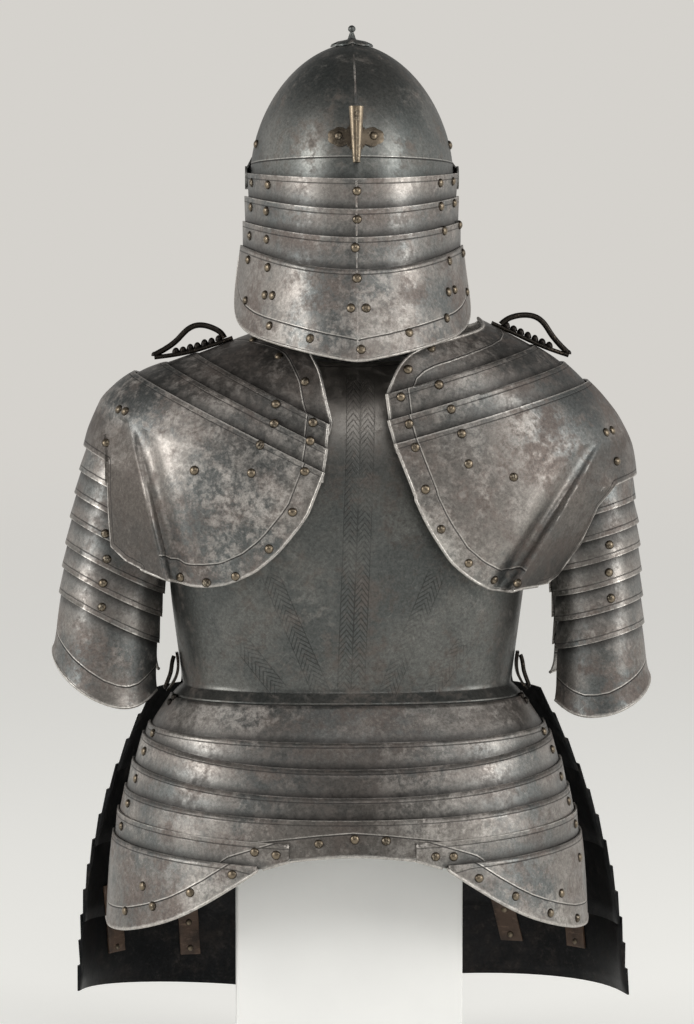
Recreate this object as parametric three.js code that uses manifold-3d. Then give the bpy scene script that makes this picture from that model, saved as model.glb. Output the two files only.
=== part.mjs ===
// Half armour of a heavy cavalryman of about 1620, set on a plinth: close helmet with a lobster-tail neck
// guard, collar, cuirass, a pair of large winged pauldrons with laminated arm defences, a laminated rump
// guard (culet) and a pair of long laminated tassets.
// Millimetres. +Z is up, the armour faces -Y, the wearer's left is +X, and z = 0 is the plinth's underside.
import * as THREE from "three";
import { mergeVertices } from "three/addons/utils/BufferGeometryUtils.js";
import Module from "manifold-3d";

const wasm = await Module();
wasm.setup();

// Driving sizes
const WALL = 2;
const GAP = 0.8;
const PIVOT_Z = 970;
const HELMET_X = -5;
const VISOR = { clear: 1, low: -14, high: 30, arm: 13, end: 85, prow: 8 };
const SKULL = { halfWidth: 108, radius: 140, rearShare: 0.92, power: 1.85 };
const PLINTH = { width: 234, depth: 176, top: 404 };
const STEEL = { color: 0x8a8783, roughness: 0.42, metalness: 0.9 };
const DARK_STEEL = { color: 0x55585a, roughness: 0.5, metalness: 0.85 };
const BRASS = { color: 0x86714f, roughness: 0.5, metalness: 0.85 };
const LEATHER = { color: 0x4a372a, roughness: 0.75, metalness: 0 };
const WHITE = { color: 0xe6e6e2, roughness: 0.6, metalness: 0 };

const rad = (deg) => (deg * Math.PI) / 180;
const clamp = (x, low = 0, high = 1) => Math.min(high, Math.max(low, x));
const lerp = (a, b, t) => a + (b - a) * t;
const smooth = (t) => clamp(t) * clamp(t) * (3 - 2 * clamp(t));
// sign and power of a sine or cosine, for super-ellipses
const rounded = (x, power) => Math.sign(x) * Math.abs(x) ** (2 / power);

// A smooth curve through the rows of a table, from one named column to another.
function track(rows, from, to) {
  const x = rows.map((r) => r[from]);
  const y = rows.map((r) => r[to]);
  const step = x.slice(1).map((v, i) => (y[i + 1] - y[i]) / (v - x[i]));
  const slope = y.map((_, i) => {
    if (i === 0) return step[0];
    if (i === y.length - 1) return step[i - 1];
    if (step[i - 1] * step[i] <= 0) return 0;
    return (2 * step[i - 1] * step[i]) / (step[i - 1] + step[i]);
  });
  return (at) => {
    if (at <= x[0]) return y[0] + slope[0] * (at - x[0]);
    const last = x.length - 1;
    if (at >= x[last]) return y[last] + slope[last] * (at - x[last]);
    const i = x.findIndex((v, k) => k < last && at < x[k + 1]);
    const h = x[i + 1] - x[i];
    const t = (at - x[i]) / h;
    const s = 1 - t;
    return (
      y[i] * s * s * (1 + 2 * t) + y[i + 1] * t * t * (3 - 2 * t) +
      h * (slope[i] * t * s * s - slope[i + 1] * t * t * s)
    );
  };
}

// A closed wall: outer(u, row) and inner(u, row) give its two faces, over u from 0 to 1 and rows 0 to rows.
function wallGeometry({ columns, rows, outer, inner, ring = false }) {
  const points = [];
  const across = ring ? columns : columns + 1;
  for (const face of [outer, inner])
    for (let j = 0; j <= rows; j++)
      for (let i = 0; i < across; i++) points.push(face(i / columns, j));
  const at = (face, i, j) => face * across * (rows + 1) + j * across + (ring ? i % columns : i);
  const quads = [];
  for (let j = 0; j < rows; j++)
    for (let i = 0; i < columns; i++) {
      quads.push([at(0, i, j), at(0, i + 1, j), at(0, i + 1, j + 1), at(0, i, j + 1)]);
      quads.push([at(1, i, j), at(1, i, j + 1), at(1, i + 1, j + 1), at(1, i + 1, j)]);
    }
  for (let i = 0; i < columns; i++) {
    quads.push([at(0, i, 0), at(1, i, 0), at(1, i + 1, 0), at(0, i + 1, 0)]);
    quads.push([at(0, i, rows), at(0, i + 1, rows), at(1, i + 1, rows), at(1, i, rows)]);
  }
  if (!ring)
    for (let j = 0; j < rows; j++) {
      quads.push([at(0, 0, j), at(0, 0, j + 1), at(1, 0, j + 1), at(1, 0, j)]);
      quads.push([at(0, columns, j), at(1, columns, j), at(1, columns, j + 1), at(0, columns, j + 1)]);
    }
  return geometryOf(points, quads);
}

// Triangles from quads, without the ones that a pole flattens, and turned to face outwards.
function geometryOf(points, quads) {
  const same = (p, q) => points[p].distanceTo(points[q]) < 1e-4;
  const triangles = [];
  for (const [a, b, c, d] of quads)
    for (const t of [[a, b, c], [a, c, d]])
      if (!same(t[0], t[1]) && !same(t[1], t[2]) && !same(t[0], t[2])) triangles.push(t);
  let volume = 0;
  for (const [a, b, c] of triangles) volume += points[a].dot(points[b].clone().cross(points[c]));
  const index = triangles.flatMap(([a, b, c]) => (volume < 0 ? [a, c, b] : [a, b, c]));
  const geometry = new THREE.BufferGeometry();
  geometry.setAttribute("position", new THREE.Float32BufferAttribute(points.flatMap((p) => p.toArray()), 3));
  geometry.setIndex(index);
  return geometry;
}

// Joining and cutting solids
function solidOf(geometry) {
  const bare = geometry.clone();
  bare.deleteAttribute("normal");
  bare.deleteAttribute("uv");
  const merged = mergeVertices(bare, 1e-3);
  return new wasm.Manifold(
    new wasm.Mesh({
      numProp: 3,
      vertProperties: merged.attributes.position.array,
      triVerts: new Uint32Array(merged.index.array),
    }),
  );
}

function geometryFrom(solid) {
  const mesh = solid.getMesh();
  const geometry = new THREE.BufferGeometry();
  geometry.setAttribute("position", new THREE.Float32BufferAttribute(mesh.vertProperties, 3));
  geometry.setIndex(Array.from(mesh.triVerts));
  return geometry;
}

const joined = (parts) => geometryFrom(parts.map(solidOf).reduce((all, one) => all.add(one)));
const cutBy = (part, cutters) =>
  geometryFrom(cutters.map(solidOf).reduce((left, one) => left.subtract(one), solidOf(part)));

function placed(geometry, position, turn = [0, 0, 0]) {
  const matrix = new THREE.Matrix4().makeRotationFromEuler(new THREE.Euler(...turn));
  return geometry.applyMatrix4(matrix.setPosition(...position));
}

const armour = new THREE.Group();

function add(name, geometry, finish = STEEL, group = armour) {
  const mesh = new THREE.Mesh(geometry, new THREE.MeshStandardMaterial(finish));
  mesh.name = name;
  group.add(mesh);
  return mesh;
}

// A lame of a stack: it runs between two edges of the stack's surface. Its wall sinks steadily away from the
// edge that shows, by the thickness of one lame over the height that shows, so every lap keeps its clearance.
// surface(u, position, inset) gives a point; from(u) and to(u) give the positions of the two edges.
function lame({ columns, surface, from, to, slope = () => 0, shown = from, rows = 1 }) {
  const face = (thickness) => (u, row) => {
    const at = lerp(from(u), to(u), row / rows);
    return surface(u, at, slope(u) * Math.abs(at - shown(u)) + thickness);
  };
  return wallGeometry({ columns, rows, outer: face(0), inner: face(WALL) });
}

const STEP = WALL + GAP;

// Cuirass: one trunk surface, whose rear half is the backplate and whose front half the breastplate
const TRUNK = [
  { z: 424, half: 182, back: 111, front: 118 },
  { z: 431, half: 183, back: 112, front: 120 },
  { z: 442, half: 173, back: 101, front: 112 },
  { z: 480, half: 178, back: 108, front: 134 },
  { z: 540, half: 186, back: 122, front: 153 },
  { z: 600, half: 190, back: 131, front: 160 },
  { z: 660, half: 189, back: 136, front: 155 },
  { z: 720, half: 186, back: 126, front: 138 },
  { z: 765, half: 182, back: 96, front: 98 },
  { z: 800, half: 177, back: 52, front: 54 },
];
const trunkHalf = track(TRUNK, "z", "half");
const trunkBack = track(TRUNK, "z", "back");
const trunkFront = track(TRUNK, "z", "front");
const TRUNK_POWER = 2.35;
const BREAST_KEEL = 12;
const KEEL_AT_FLANGE = 0.4;

// angle 0 is the middle of the back, +90 the left side and 180 the middle of the breast
function trunkPoint(angle, z, inset) {
  const s = Math.sin(rad(angle));
  const c = Math.cos(rad(angle));
  const x = (trunkHalf(z) - inset) * rounded(s, TRUNK_POWER);
  const depth = c >= 0 ? trunkBack(z) : trunkFront(z);
  const keel = c < 0 ? BREAST_KEEL * Math.exp(-((x / 34) ** 2)) * smooth((z - 431) / 60) : 0;
  return new THREE.Vector3(x, (depth - inset) * rounded(c, TRUNK_POWER) - keel, z);
}

// Half angle that a plate of the cuirass reaches at each height: it wraps to the side, then the armhole cuts
// in.
const ARMHOLE = [
  { z: 540, reach: 90 },
  { z: 565, reach: 82 },
  { z: 600, reach: 61 },
  { z: 660, reach: 46 },
  { z: 730, reach: 42 },
  { z: 800, reach: 43 },
];
const armholeReach = track(ARMHOLE, "z", "reach");
const CUIRASS_ROWS = [424, 431, 442, 485, 540, 566, 600, 660, 720, 765, 792];
const NECK = { back: 780, breast: 766, shoulder: 784, width: 0.62 };

function cuirassPlate({ middle, neck, wrap, inset }) {
  const bottom = CUIRASS_ROWS[0];
  const top = CUIRASS_ROWS[CUIRASS_ROWS.length - 1];
  const face = (thickness) => (u, row) => {
    const side = 2 * u - 1;
    const crown = lerp(neck, NECK.shoulder, smooth(Math.abs(side) / NECK.width));
    const z = bottom + ((CUIRASS_ROWS[row] - bottom) * (crown - bottom)) / (top - bottom);
    const reach = z < 540 ? wrap : Math.min(wrap, (armholeReach(z) * wrap) / 90);
    return trunkPoint(middle + side * reach, z, inset + thickness);
  };
  return wallGeometry({ columns: 20, rows: CUIRASS_ROWS.length - 1, outer: face(0), inner: face(WALL) });
}

add("backplate", cuirassPlate({ middle: 0, neck: NECK.back, wrap: 90, inset: 0 }), DARK_STEEL);
add("breastplate", cuirassPlate({ middle: 180, neck: NECK.breast, wrap: 93, inset: WALL + GAP }), DARK_STEEL);

// Straps of steel-covered leather that carry the cuirass on the shoulders
const STRAP = { x: 99, width: 28, rise: 2.5 };
function shoulderStrap(side) {
  const face = (thickness) => (u, row) => {
    const t = 2 * u - 1;
    const z = NECK.shoulder + 0.6 + STRAP.rise * (1 - t * t) + WALL - thickness;
    return new THREE.Vector3(side * (STRAP.x + (row - 0.5) * STRAP.width), lerp(-56, 60, u), z);
  };
  return wallGeometry({ columns: 10, rows: 1, outer: face(0), inner: face(WALL) });
}

// Strap that carries a pauldron: from the shoulder strap up to the underside of the top plate
const PAULDRON_STRAP = { x: 106, z: 788, width: 20, thick: 2.4, under: WALL + 0.6 };
function pauldronStrap(side) {
  const s = SIDES[side > 0 ? "left" : "right"];
  const down = s.strapDown + PAULDRON_STRAP.under * 0.6;
  const out = s.wingOut(s.strapDown) - PAULDRON_STRAP.under * 0.8;
  const c = Math.cos(rad(s.tilt));
  const d = Math.sin(rad(s.tilt));
  const start = new THREE.Vector2(PAULDRON_STRAP.x, PAULDRON_STRAP.z);
  const end = new THREE.Vector2(SHOULDER.x + out * c + down * d, SHOULDER.z + out * d - down * c);
  const along = end.clone().sub(start).normalize();
  const face = (offset) => (u, row) => {
    const p = start.clone().lerp(end, u);
    const y = (row - 0.5) * PAULDRON_STRAP.width;
    return new THREE.Vector3(side * (p.x + along.y * offset), y, p.y - along.x * offset);
  };
  return wallGeometry({ columns: 1, rows: 1, outer: face(0), inner: face(PAULDRON_STRAP.thick) });
}

// Collar, under the helmet
const COLLAR = [
  { z: 862, half: 86, depth: 90 },
  { z: 838, half: 82, depth: 86 },
  { z: 816, half: 80, depth: 84 },
  { z: 786.4, half: 83, depth: 78 },
];
function collar() {
  const face = (thickness) => (u, row) => {
    const { z, half, depth } = COLLAR[row];
    const s = Math.sin(rad(360 * u));
    const c = Math.cos(rad(360 * u));
    return new THREE.Vector3((half - thickness) * s, (depth - thickness) * c, z);
  };
  const rows = COLLAR.length - 1;
  return wallGeometry({ columns: 20, rows, outer: face(0), inner: face(WALL), ring: true });
}
add("collar", collar(), DARK_STEEL);

// Culet: lames round the hips, each lower one over the upper one
const HIPS = [
  { z: 429, half: 186.1, depth: 115.1 },
  { z: 412, half: 199, depth: 127 },
  { z: 394, half: 213, depth: 139 },
  { z: 366, half: 225, depth: 152 },
  { z: 335, half: 234, depth: 163 },
  { z: 300, half: 245, depth: 172 },
  { z: 260, half: 251, depth: 179 },
  { z: 188, half: 255, depth: 188 },
];
const hipHalf = track([...HIPS].reverse(), "z", "half");
const hipDepth = track([...HIPS].reverse(), "z", "depth");
const HIP_POWER = 2.3;
const CULET_WRAP = 94;
const CULET_LAP = 8;
// heights of the upper edges, at the middle of the back and at the sides
const CULET_EDGES = [
  { name: "culet_waist", middle: 429, side: 429 },
  { name: "culet_lame_1", middle: 394, side: 400 },
  { name: "culet_lame_2", middle: 368, side: 389 },
  { name: "culet_lame_3", middle: 340, side: 361 },
  { name: "culet_lame_4", middle: 318, side: 333 },
  { name: "culet_lame_5", middle: 294, side: 309 },
  { name: "culet_lame_6", middle: 270, side: 284.5 },
];
// lower edge of the culet, arched over the saddle, by angle from the middle of the back
const CULET_ARCH = [
  { angle: 0, z: 283 },
  { angle: 13, z: 276.5 },
  { angle: 20, z: 266 },
  { angle: 29.5, z: 241 },
  { angle: 44, z: 213 },
  { angle: 58, z: 199 },
  { angle: 68, z: 193 },
  { angle: 84, z: 190 },
  { angle: 94, z: 203 },
];
const archEdge = track(CULET_ARCH, "angle", "z");
const ARCH_ENDS = { lame5: 12.5, lame6: 20 };

function hipPoint(angle, z, inset) {
  const x = (hipHalf(z) - inset) * rounded(Math.sin(rad(angle)), HIP_POWER);
  const y = (hipDepth(z) - inset) * rounded(Math.cos(rad(angle)), HIP_POWER);
  return new THREE.Vector3(x, y, z);
}

const culetEdge = (k, angle) => {
  const { middle, side } = CULET_EDGES[k];
  return lerp(side, middle, Math.cos(rad(angle)) ** 2);
};

function culetLame(k, start, end, columns) {
  const angleAt = (u) => lerp(start, end, u);
  const upper = (u) => culetEdge(k, angleAt(u));
  const lower = (u) => {
    const angle = angleAt(u);
    const arch = archEdge(Math.abs(angle));
    if (k === 6) return arch;
    if (k === 4 && Math.abs(angle) < ARCH_ENDS.lame5 + 0.5) return arch;
    return Math.max(arch, culetEdge(k + 1, angle) - CULET_LAP);
  };
  return lame({
    columns,
    rows: [3, 2, 1, 1, 1, 1, 3][k],
    surface: (u, z, inset) => hipPoint(angleAt(u), z, inset),
    from: upper,
    to: lower,
    slope: (u) => (k === 6 ? 0 : (STEP + (k ? 0 : 0.6)) / (upper(u) - culetEdge(k + 1, angleAt(u)))),
  });
}

for (let k = 0; k < 5; k++) add(CULET_EDGES[k].name, culetLame(k, -CULET_WRAP, CULET_WRAP, 30));
for (const [k, start] of [[5, ARCH_ENDS.lame5], [6, ARCH_ENDS.lame6]])
  for (const [side, sign] of [["left", 1], ["right", -1]])
    add(`${CULET_EDGES[k].name}_${side}`, culetLame(k, sign * start, sign * CULET_WRAP, 13));

// Tassets: two laminated aprons hung from the breastplate's flange, curved round the thighs
const TASSET = { top: 432, bottom: 91, nodes: 4, lames: 12, lap: 8, open: 2.2 };
// plan of the left tasset's outer face as a cubic curve from its inner edge to its outer one
const TASSET_PLAN = {
  top: [[12, -130], [88, -147], [190, -112], [206, -16]],
  bottom: [[44, -172], [104, -246], [280, -232], [290, -62]],
};
const TASSET_SWING = { left: -4, right: 20 };
// how far the hem hangs lower at its inner edge, and how far it rises again towards its outer one
const TASSET_HEM = { left: { drop: 14, lift: 24 }, right: { drop: 2, lift: 4 } };

function tassetPoint(u, z, inset, side) {
  const down = (TASSET.top - z) / (TASSET.top - TASSET.bottom);
  const t = clamp(1 - (1 - clamp(down)) ** TASSET.open);
  const p = TASSET_PLAN.top.map((a, i) => [0, 1].map((k) => lerp(a[k], TASSET_PLAN.bottom[i][k], t)));
  const s = 1 - u;
  const weight = [s * s * s, 3 * s * s * u, 3 * s * u * u, u * u * u];
  const pull = [-3 * s * s, 3 * s * s - 6 * s * u, 6 * s * u - 3 * u * u, 3 * u * u];
  const sum = (w, k) => p.reduce((all, point, i) => all + w[i] * point[k], 0);
  const tangent = new THREE.Vector2(sum(pull, 0), sum(pull, 1)).normalize();
  const x = sum(weight, 0) - tangent.y * inset + Math.max(0, u - 0.2) * TASSET_SWING[side] * down;
  const y = sum(weight, 1) + tangent.x * inset;
  const { drop, lift } = TASSET_HEM[side];
  return new THREE.Vector3(side === "left" ? x : -x, y, z + (lift * u * u - drop) * down);
}

// Straps that carry a tasset on the breastplate's flange
const HANGER = { width: 18, z: 428, thick: 4, at: [46, 112], clear: 0.5 };
function hangers(side) {
  const sign = side === "left" ? 1 : -1;
  return HANGER.at.map((x) => {
    const edge = trunkFront(HANGER.z) - STEP;
    const across = (x - HANGER.width / 2) / (trunkHalf(HANGER.z) - STEP);
    const flange = -edge * (1 - across ** TRUNK_POWER) ** (1 / TRUNK_POWER);
    const shares = [...Array(200).keys()].map((i) => i / 200);
    const u = shares.find((v) => tassetPoint(v, HANGER.z, 0, "left").x > x) ?? 1;
    const outer = tassetPoint(u, HANGER.z, 0, "left").y + 1;
    const inner = flange - HANGER.clear - KEEL_AT_FLANGE;
    return placed(
      new THREE.BoxGeometry(HANGER.width, inner - outer, HANGER.thick),
      [sign * x, (inner + outer) / 2, HANGER.z],
    );
  });
}

// One node holds three lames riveted together, each lower one over the upper one.
function tassetGroup(k, side) {
  const pitch = (TASSET.top - TASSET.bottom) / TASSET.lames;
  const each = TASSET.lames / TASSET.nodes;
  const sink = (STEP * (pitch + TASSET.lap)) / pitch;
  const table = [];
  for (let i = 0; i < each; i++) {
    const upper = TASSET.top - (k * each + i) * pitch;
    const last = i === each - 1;
    const hem = k === TASSET.nodes - 1 && last;
    table.push({ z: upper, outer: 0, inner: (i > 0 ? STEP : 0) + WALL });
    if (hem) table.push({ z: upper - pitch, outer: 0, inner: WALL });
    else if (last) table.push({ z: upper - pitch - TASSET.lap, outer: sink, inner: sink + WALL });
    else table.push({ z: upper - pitch, outer: STEP, inner: STEP + WALL });
  }
  const lames = wallGeometry({
    columns: 12,
    rows: table.length - 1,
    outer: (u, row) => tassetPoint(u, table[row].z, table[row].outer, side),
    inner: (u, row) => tassetPoint(u, table[row].z, table[row].inner, side),
  });
  return k === 0 ? joined([lames, ...hangers(side)]) : lames;
}

for (const side of ["left", "right"])
  for (let k = 0; k < TASSET.nodes; k++) add(`tasset_${side}_${k + 1}`, tassetGroup(k, side), DARK_STEEL);

// Helmet
const helmet = new THREE.Group();
helmet.position.set(HELMET_X, 0, 0);
armour.add(helmet);

// Distance from the helmet's upright axis to the skull, for an angle from the rear and a height over the
// pivots.
function skullRadius(angle, height, inset) {
  const s = Math.abs(Math.sin(rad(angle)));
  const c = Math.cos(rad(angle));
  const share = c > 0 ? SKULL.rearShare : 1;
  const wide = SKULL.halfWidth - inset;
  const deep = SKULL.radius - inset;
  let near = 0;
  let far = deep + 10;
  for (let i = 0; i < 40; i++) {
    const r = (near + far) / 2;
    const sideways = ((r * s) / wide) ** SKULL.power;
    const filled = sideways + (Math.hypot((r * c) / share, height) / deep) ** SKULL.power;
    if (filled < 1) near = r;
    else far = r;
  }
  return near;
}

const FACE = { ear: -12, from: 108, to: 134, under: 9 };
const SKULL_ROWS = 7;
function skull() {
  const face = (thickness) => (u, row) => {
    const angle = 360 * u;
    const fromRear = angle > 180 ? 360 - angle : angle;
    const reach = SKULL.radius * rounded(Math.max(0, -Math.cos(rad(angle))), SKULL.power);
    const brow = reach * Math.sin(rad(VISOR.high)) - FACE.under;
    const edge = lerp(FACE.ear, brow, smooth((fromRear - FACE.from) / (FACE.to - FACE.from)));
    const crown = SKULL.radius - thickness;
    const rise = Math.sin(((row / SKULL_ROWS) * Math.PI) / 2);
    const height = row === SKULL_ROWS ? crown : lerp(edge, crown, rise);
    const r = row === SKULL_ROWS ? 0 : skullRadius(angle, height, thickness);
    return new THREE.Vector3(r * Math.sin(rad(angle)), r * Math.cos(rad(angle)), PIVOT_Z + height);
  };
  return wallGeometry({ columns: 28, rows: SKULL_ROWS, outer: face(0), inner: face(WALL), ring: true });
}
add("helmet_skull", skull(), DARK_STEEL, helmet);

// Neck guard: four lames round the nape, each lower one over the upper one
const NAPE = [
  { z: 980, half: 110.4, depth: 130.7 },
  { z: 950, half: 112.3, depth: 134 },
  { z: 915, half: 115, depth: 139 },
  { z: 880, half: 119, depth: 145 },
  { z: 840, half: 124, depth: 156 },
  { z: 786, half: 131, depth: 173 },
];
const napeHalf = track([...NAPE].reverse(), "z", "half");
const napeDepth = track([...NAPE].reverse(), "z", "depth");
const NAPE_WRAP = [81, 92, 92, 92];
const NAPE_LAP = 8;
const NAPE_EDGES = [
  { middle: 970, side: 975 },
  { middle: 939, side: 951 },
  { middle: 910.5, side: 925 },
  { middle: 878, side: 900 },
];
// lower edge of the neck guard, pointed at the middle
const NAPE_HEM = [
  { angle: 0, z: 786 },
  { angle: 20, z: 794 },
  { angle: 40, z: 803 },
  { angle: 58, z: 811 },
  { angle: 74, z: 824 },
  { angle: 84, z: 840 },
  { angle: 92, z: 862 },
];
const napeHem = track(NAPE_HEM, "angle", "z");
const napeEdge = (k, angle) => lerp(NAPE_EDGES[k].side, NAPE_EDGES[k].middle, Math.cos(rad(angle)) ** 2);
const KEEL_LIFT = 3;

function napePoint(angle, z, inset) {
  const x = (napeHalf(z) - inset) * Math.sin(rad(angle));
  const y = (napeDepth(z) - inset) * Math.cos(rad(angle));
  return new THREE.Vector3(x, y + KEEL_LIFT * Math.exp(-((x / 9) ** 2)), z);
}

for (let k = 0; k < 4; k++) {
  const angleAt = (u) => lerp(-NAPE_WRAP[k], NAPE_WRAP[k], u);
  const upper = (u) => napeEdge(k, angleAt(u));
  const shape = lame({
    columns: 22,
    rows: k === 3 ? 3 : 1,
    surface: (u, z, inset) => napePoint(angleAt(u), z, inset),
    from: upper,
    to: (u) => (k < 3 ? napeEdge(k + 1, angleAt(u)) - NAPE_LAP : napeHem(Math.abs(angleAt(u)))),
    slope: (u) => (k < 3 ? STEP / (upper(u) - napeEdge(k + 1, angleAt(u))) : 0),
  });
  add(`neck_lame_${k + 1}`, shape, STEEL, helmet);
}

// Visor: a shell of revolution round the pivot axis, so that it clears the skull all the way up
function visorPoint(u, v, thickness) {
  const turn = lerp(-VISOR.end, VISOR.end, u);
  const out = VISOR.clear + WALL - thickness;
  const x = (SKULL.halfWidth + out) * rounded(Math.sin(rad(turn)), SKULL.power);
  const round = (SKULL.radius + out) * rounded(Math.cos(rad(turn)), SKULL.power);
  const r = round + VISOR.prow * Math.exp(-((x / 30) ** 2));
  const arm = (Math.asin(clamp(VISOR.arm / r)) * 180) / Math.PI;
  const rise = lerp(Math.min(VISOR.low, -arm), Math.max(VISOR.high, arm), v);
  return new THREE.Vector3(x, -r * Math.cos(rad(rise)), PIVOT_Z + r * Math.sin(rad(rise)));
}
function visor() {
  const shell = wallGeometry({
    columns: 22,
    rows: 4,
    outer: (u, row) => visorPoint(u, row / 4, 0),
    inner: (u, row) => visorPoint(u, row / 4, WALL),
  });
  const bosses = [-1, 1].map((side) =>
    placed(
      new THREE.CylinderGeometry(12.4, 12.4, WALL, 16),
      [side * (SKULL.halfWidth + VISOR.clear + WALL / 2 + 0.4), 0, PIVOT_Z],
      [0, 0, Math.PI / 2],
    ),
  );
  const sights = [-1, 1].map((side) =>
    placed(new THREE.BoxGeometry(56, 120, 6), [side * 38, -130, PIVOT_Z + 16], [0, 0, side * 0.2]),
  );
  return cutBy(joined([shell, ...bosses]), sights);
}
add("visor", visor(), DARK_STEEL, helmet);

// Bevor: covers the chin and throat below the visor, and laps over the ends of the neck guard
const CHIN = [
  { z: 960, half: 107.5, front: 143 },
  { z: 935, half: 107.5, front: 145 },
  { z: 905, half: 108.6, front: 148 },
  { z: 880, half: 111.6, front: 142 },
  { z: 858, half: 116, front: 137 },
  { z: 840, half: 119.5, front: 140 },
  { z: 822, half: 124, front: 154 },
];
const chinHalf = track([...CHIN].reverse(), "z", "half");
const chinFront = track([...CHIN].reverse(), "z", "front");
const CHIN_ROWS = [0, 0.25, 0.5, 0.72, 0.88, 1];
const BEVOR = { wrap: 94, hemFront: 822, hemSide: 870, prow: 12 };
function bevorPoint(u, row, thickness) {
  const angle = lerp(-BEVOR.wrap, BEVOR.wrap, u);
  const c = Math.cos(rad(angle));
  const reach = Math.max(0, c) * 142;
  const top = PIVOT_Z - Math.max(VISOR.arm, reach * Math.tan(rad(-VISOR.low))) - 2.2;
  const hem = lerp(BEVOR.hemSide, BEVOR.hemFront, smooth(c * 2));
  const z = lerp(top, hem, CHIN_ROWS[row]);
  const x = (chinHalf(z) - thickness) * Math.sin(rad(angle));
  const y = -(chinFront(z) - thickness) * c - (c > 0 ? BEVOR.prow * Math.exp(-((x / 26) ** 2)) - 4 * c : 0);
  return new THREE.Vector3(x, y, z);
}
function bevor() {
  const shell = wallGeometry({
    columns: 20,
    rows: CHIN_ROWS.length - 1,
    outer: (u, row) => bevorPoint(u, row, 0),
    inner: (u, row) => bevorPoint(u, row, WALL),
  });
  const breaths = [34, 52].flatMap((x) =>
    [-1, 1].map((side) => placed(new THREE.BoxGeometry(5, 90, 30), [side * x, -125, 905])),
  );
  return cutBy(shell, breaths);
}
add("bevor", bevor(), DARK_STEEL, helmet);

// Plume holder: a tapered socket on a lobed plate at the back of the skull
const PLUME = { y: 128.6, z: 1012, lean: 0.2, length: 56, topRadius: 7.5, lowRadius: 4.2 };
function plumeHolder() {
  const plate = new THREE.Shape();
  const lobes = [[24, 0], [15, 9], [0, 6], [-15, 9], [-24, 0], [-15, -9], [0, -7], [15, -9]];
  plate.setFromPoints(lobes.map(([x, y]) => new THREE.Vector2(x, y)));
  const base = placed(new THREE.ExtrudeGeometry(plate, { depth: 5, bevelEnabled: false }), [0, 0, 0]);
  placed(base, [0, PLUME.y - 1, PLUME.z], [Math.PI / 2 + 0.28, 0, 0]);
  const socket = new THREE.CylinderGeometry(PLUME.topRadius, PLUME.lowRadius, PLUME.length, 14);
  placed(socket, [0, PLUME.y + 1.5, PLUME.z + 2], [Math.PI / 2 + PLUME.lean, 0, 0]);
  return joined([base, socket]);
}

// Finial: a six-lobed rosette with a turned knob
function finial() {
  const lobed = new THREE.Shape();
  const points = 36;
  for (let i = 0; i < points; i++) {
    const turn = (i / points) * 2 * Math.PI;
    const r = 20.5 + 3.5 * Math.cos(6 * turn);
    if (i === 0) lobed.moveTo(r, 0);
    else lobed.lineTo(r * Math.cos(turn), r * Math.sin(turn));
  }
  const rosette = placed(
    new THREE.ExtrudeGeometry(lobed, { depth: 3, bevelEnabled: false }),
    [0, 0, PIVOT_Z + SKULL.radius + 0.4],
  );
  const outline = [[0, 0], [5, 0], [4.6, 3], [3, 8], [2, 10.5], [3.6, 12], [4, 14.5], [2.6, 17], [0, 17.6]];
  const knob = new THREE.LatheGeometry(outline.map(([r, z]) => new THREE.Vector2(r, z)), 12);
  placed(knob, [0, 0, PIVOT_Z + SKULL.radius + 1], [Math.PI / 2, 0, 0]);
  return joined([rosette, knob]);
}
add("plume_holder", plumeHolder(), BRASS, helmet);
add("finial", finial(), DARK_STEEL, helmet);

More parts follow.
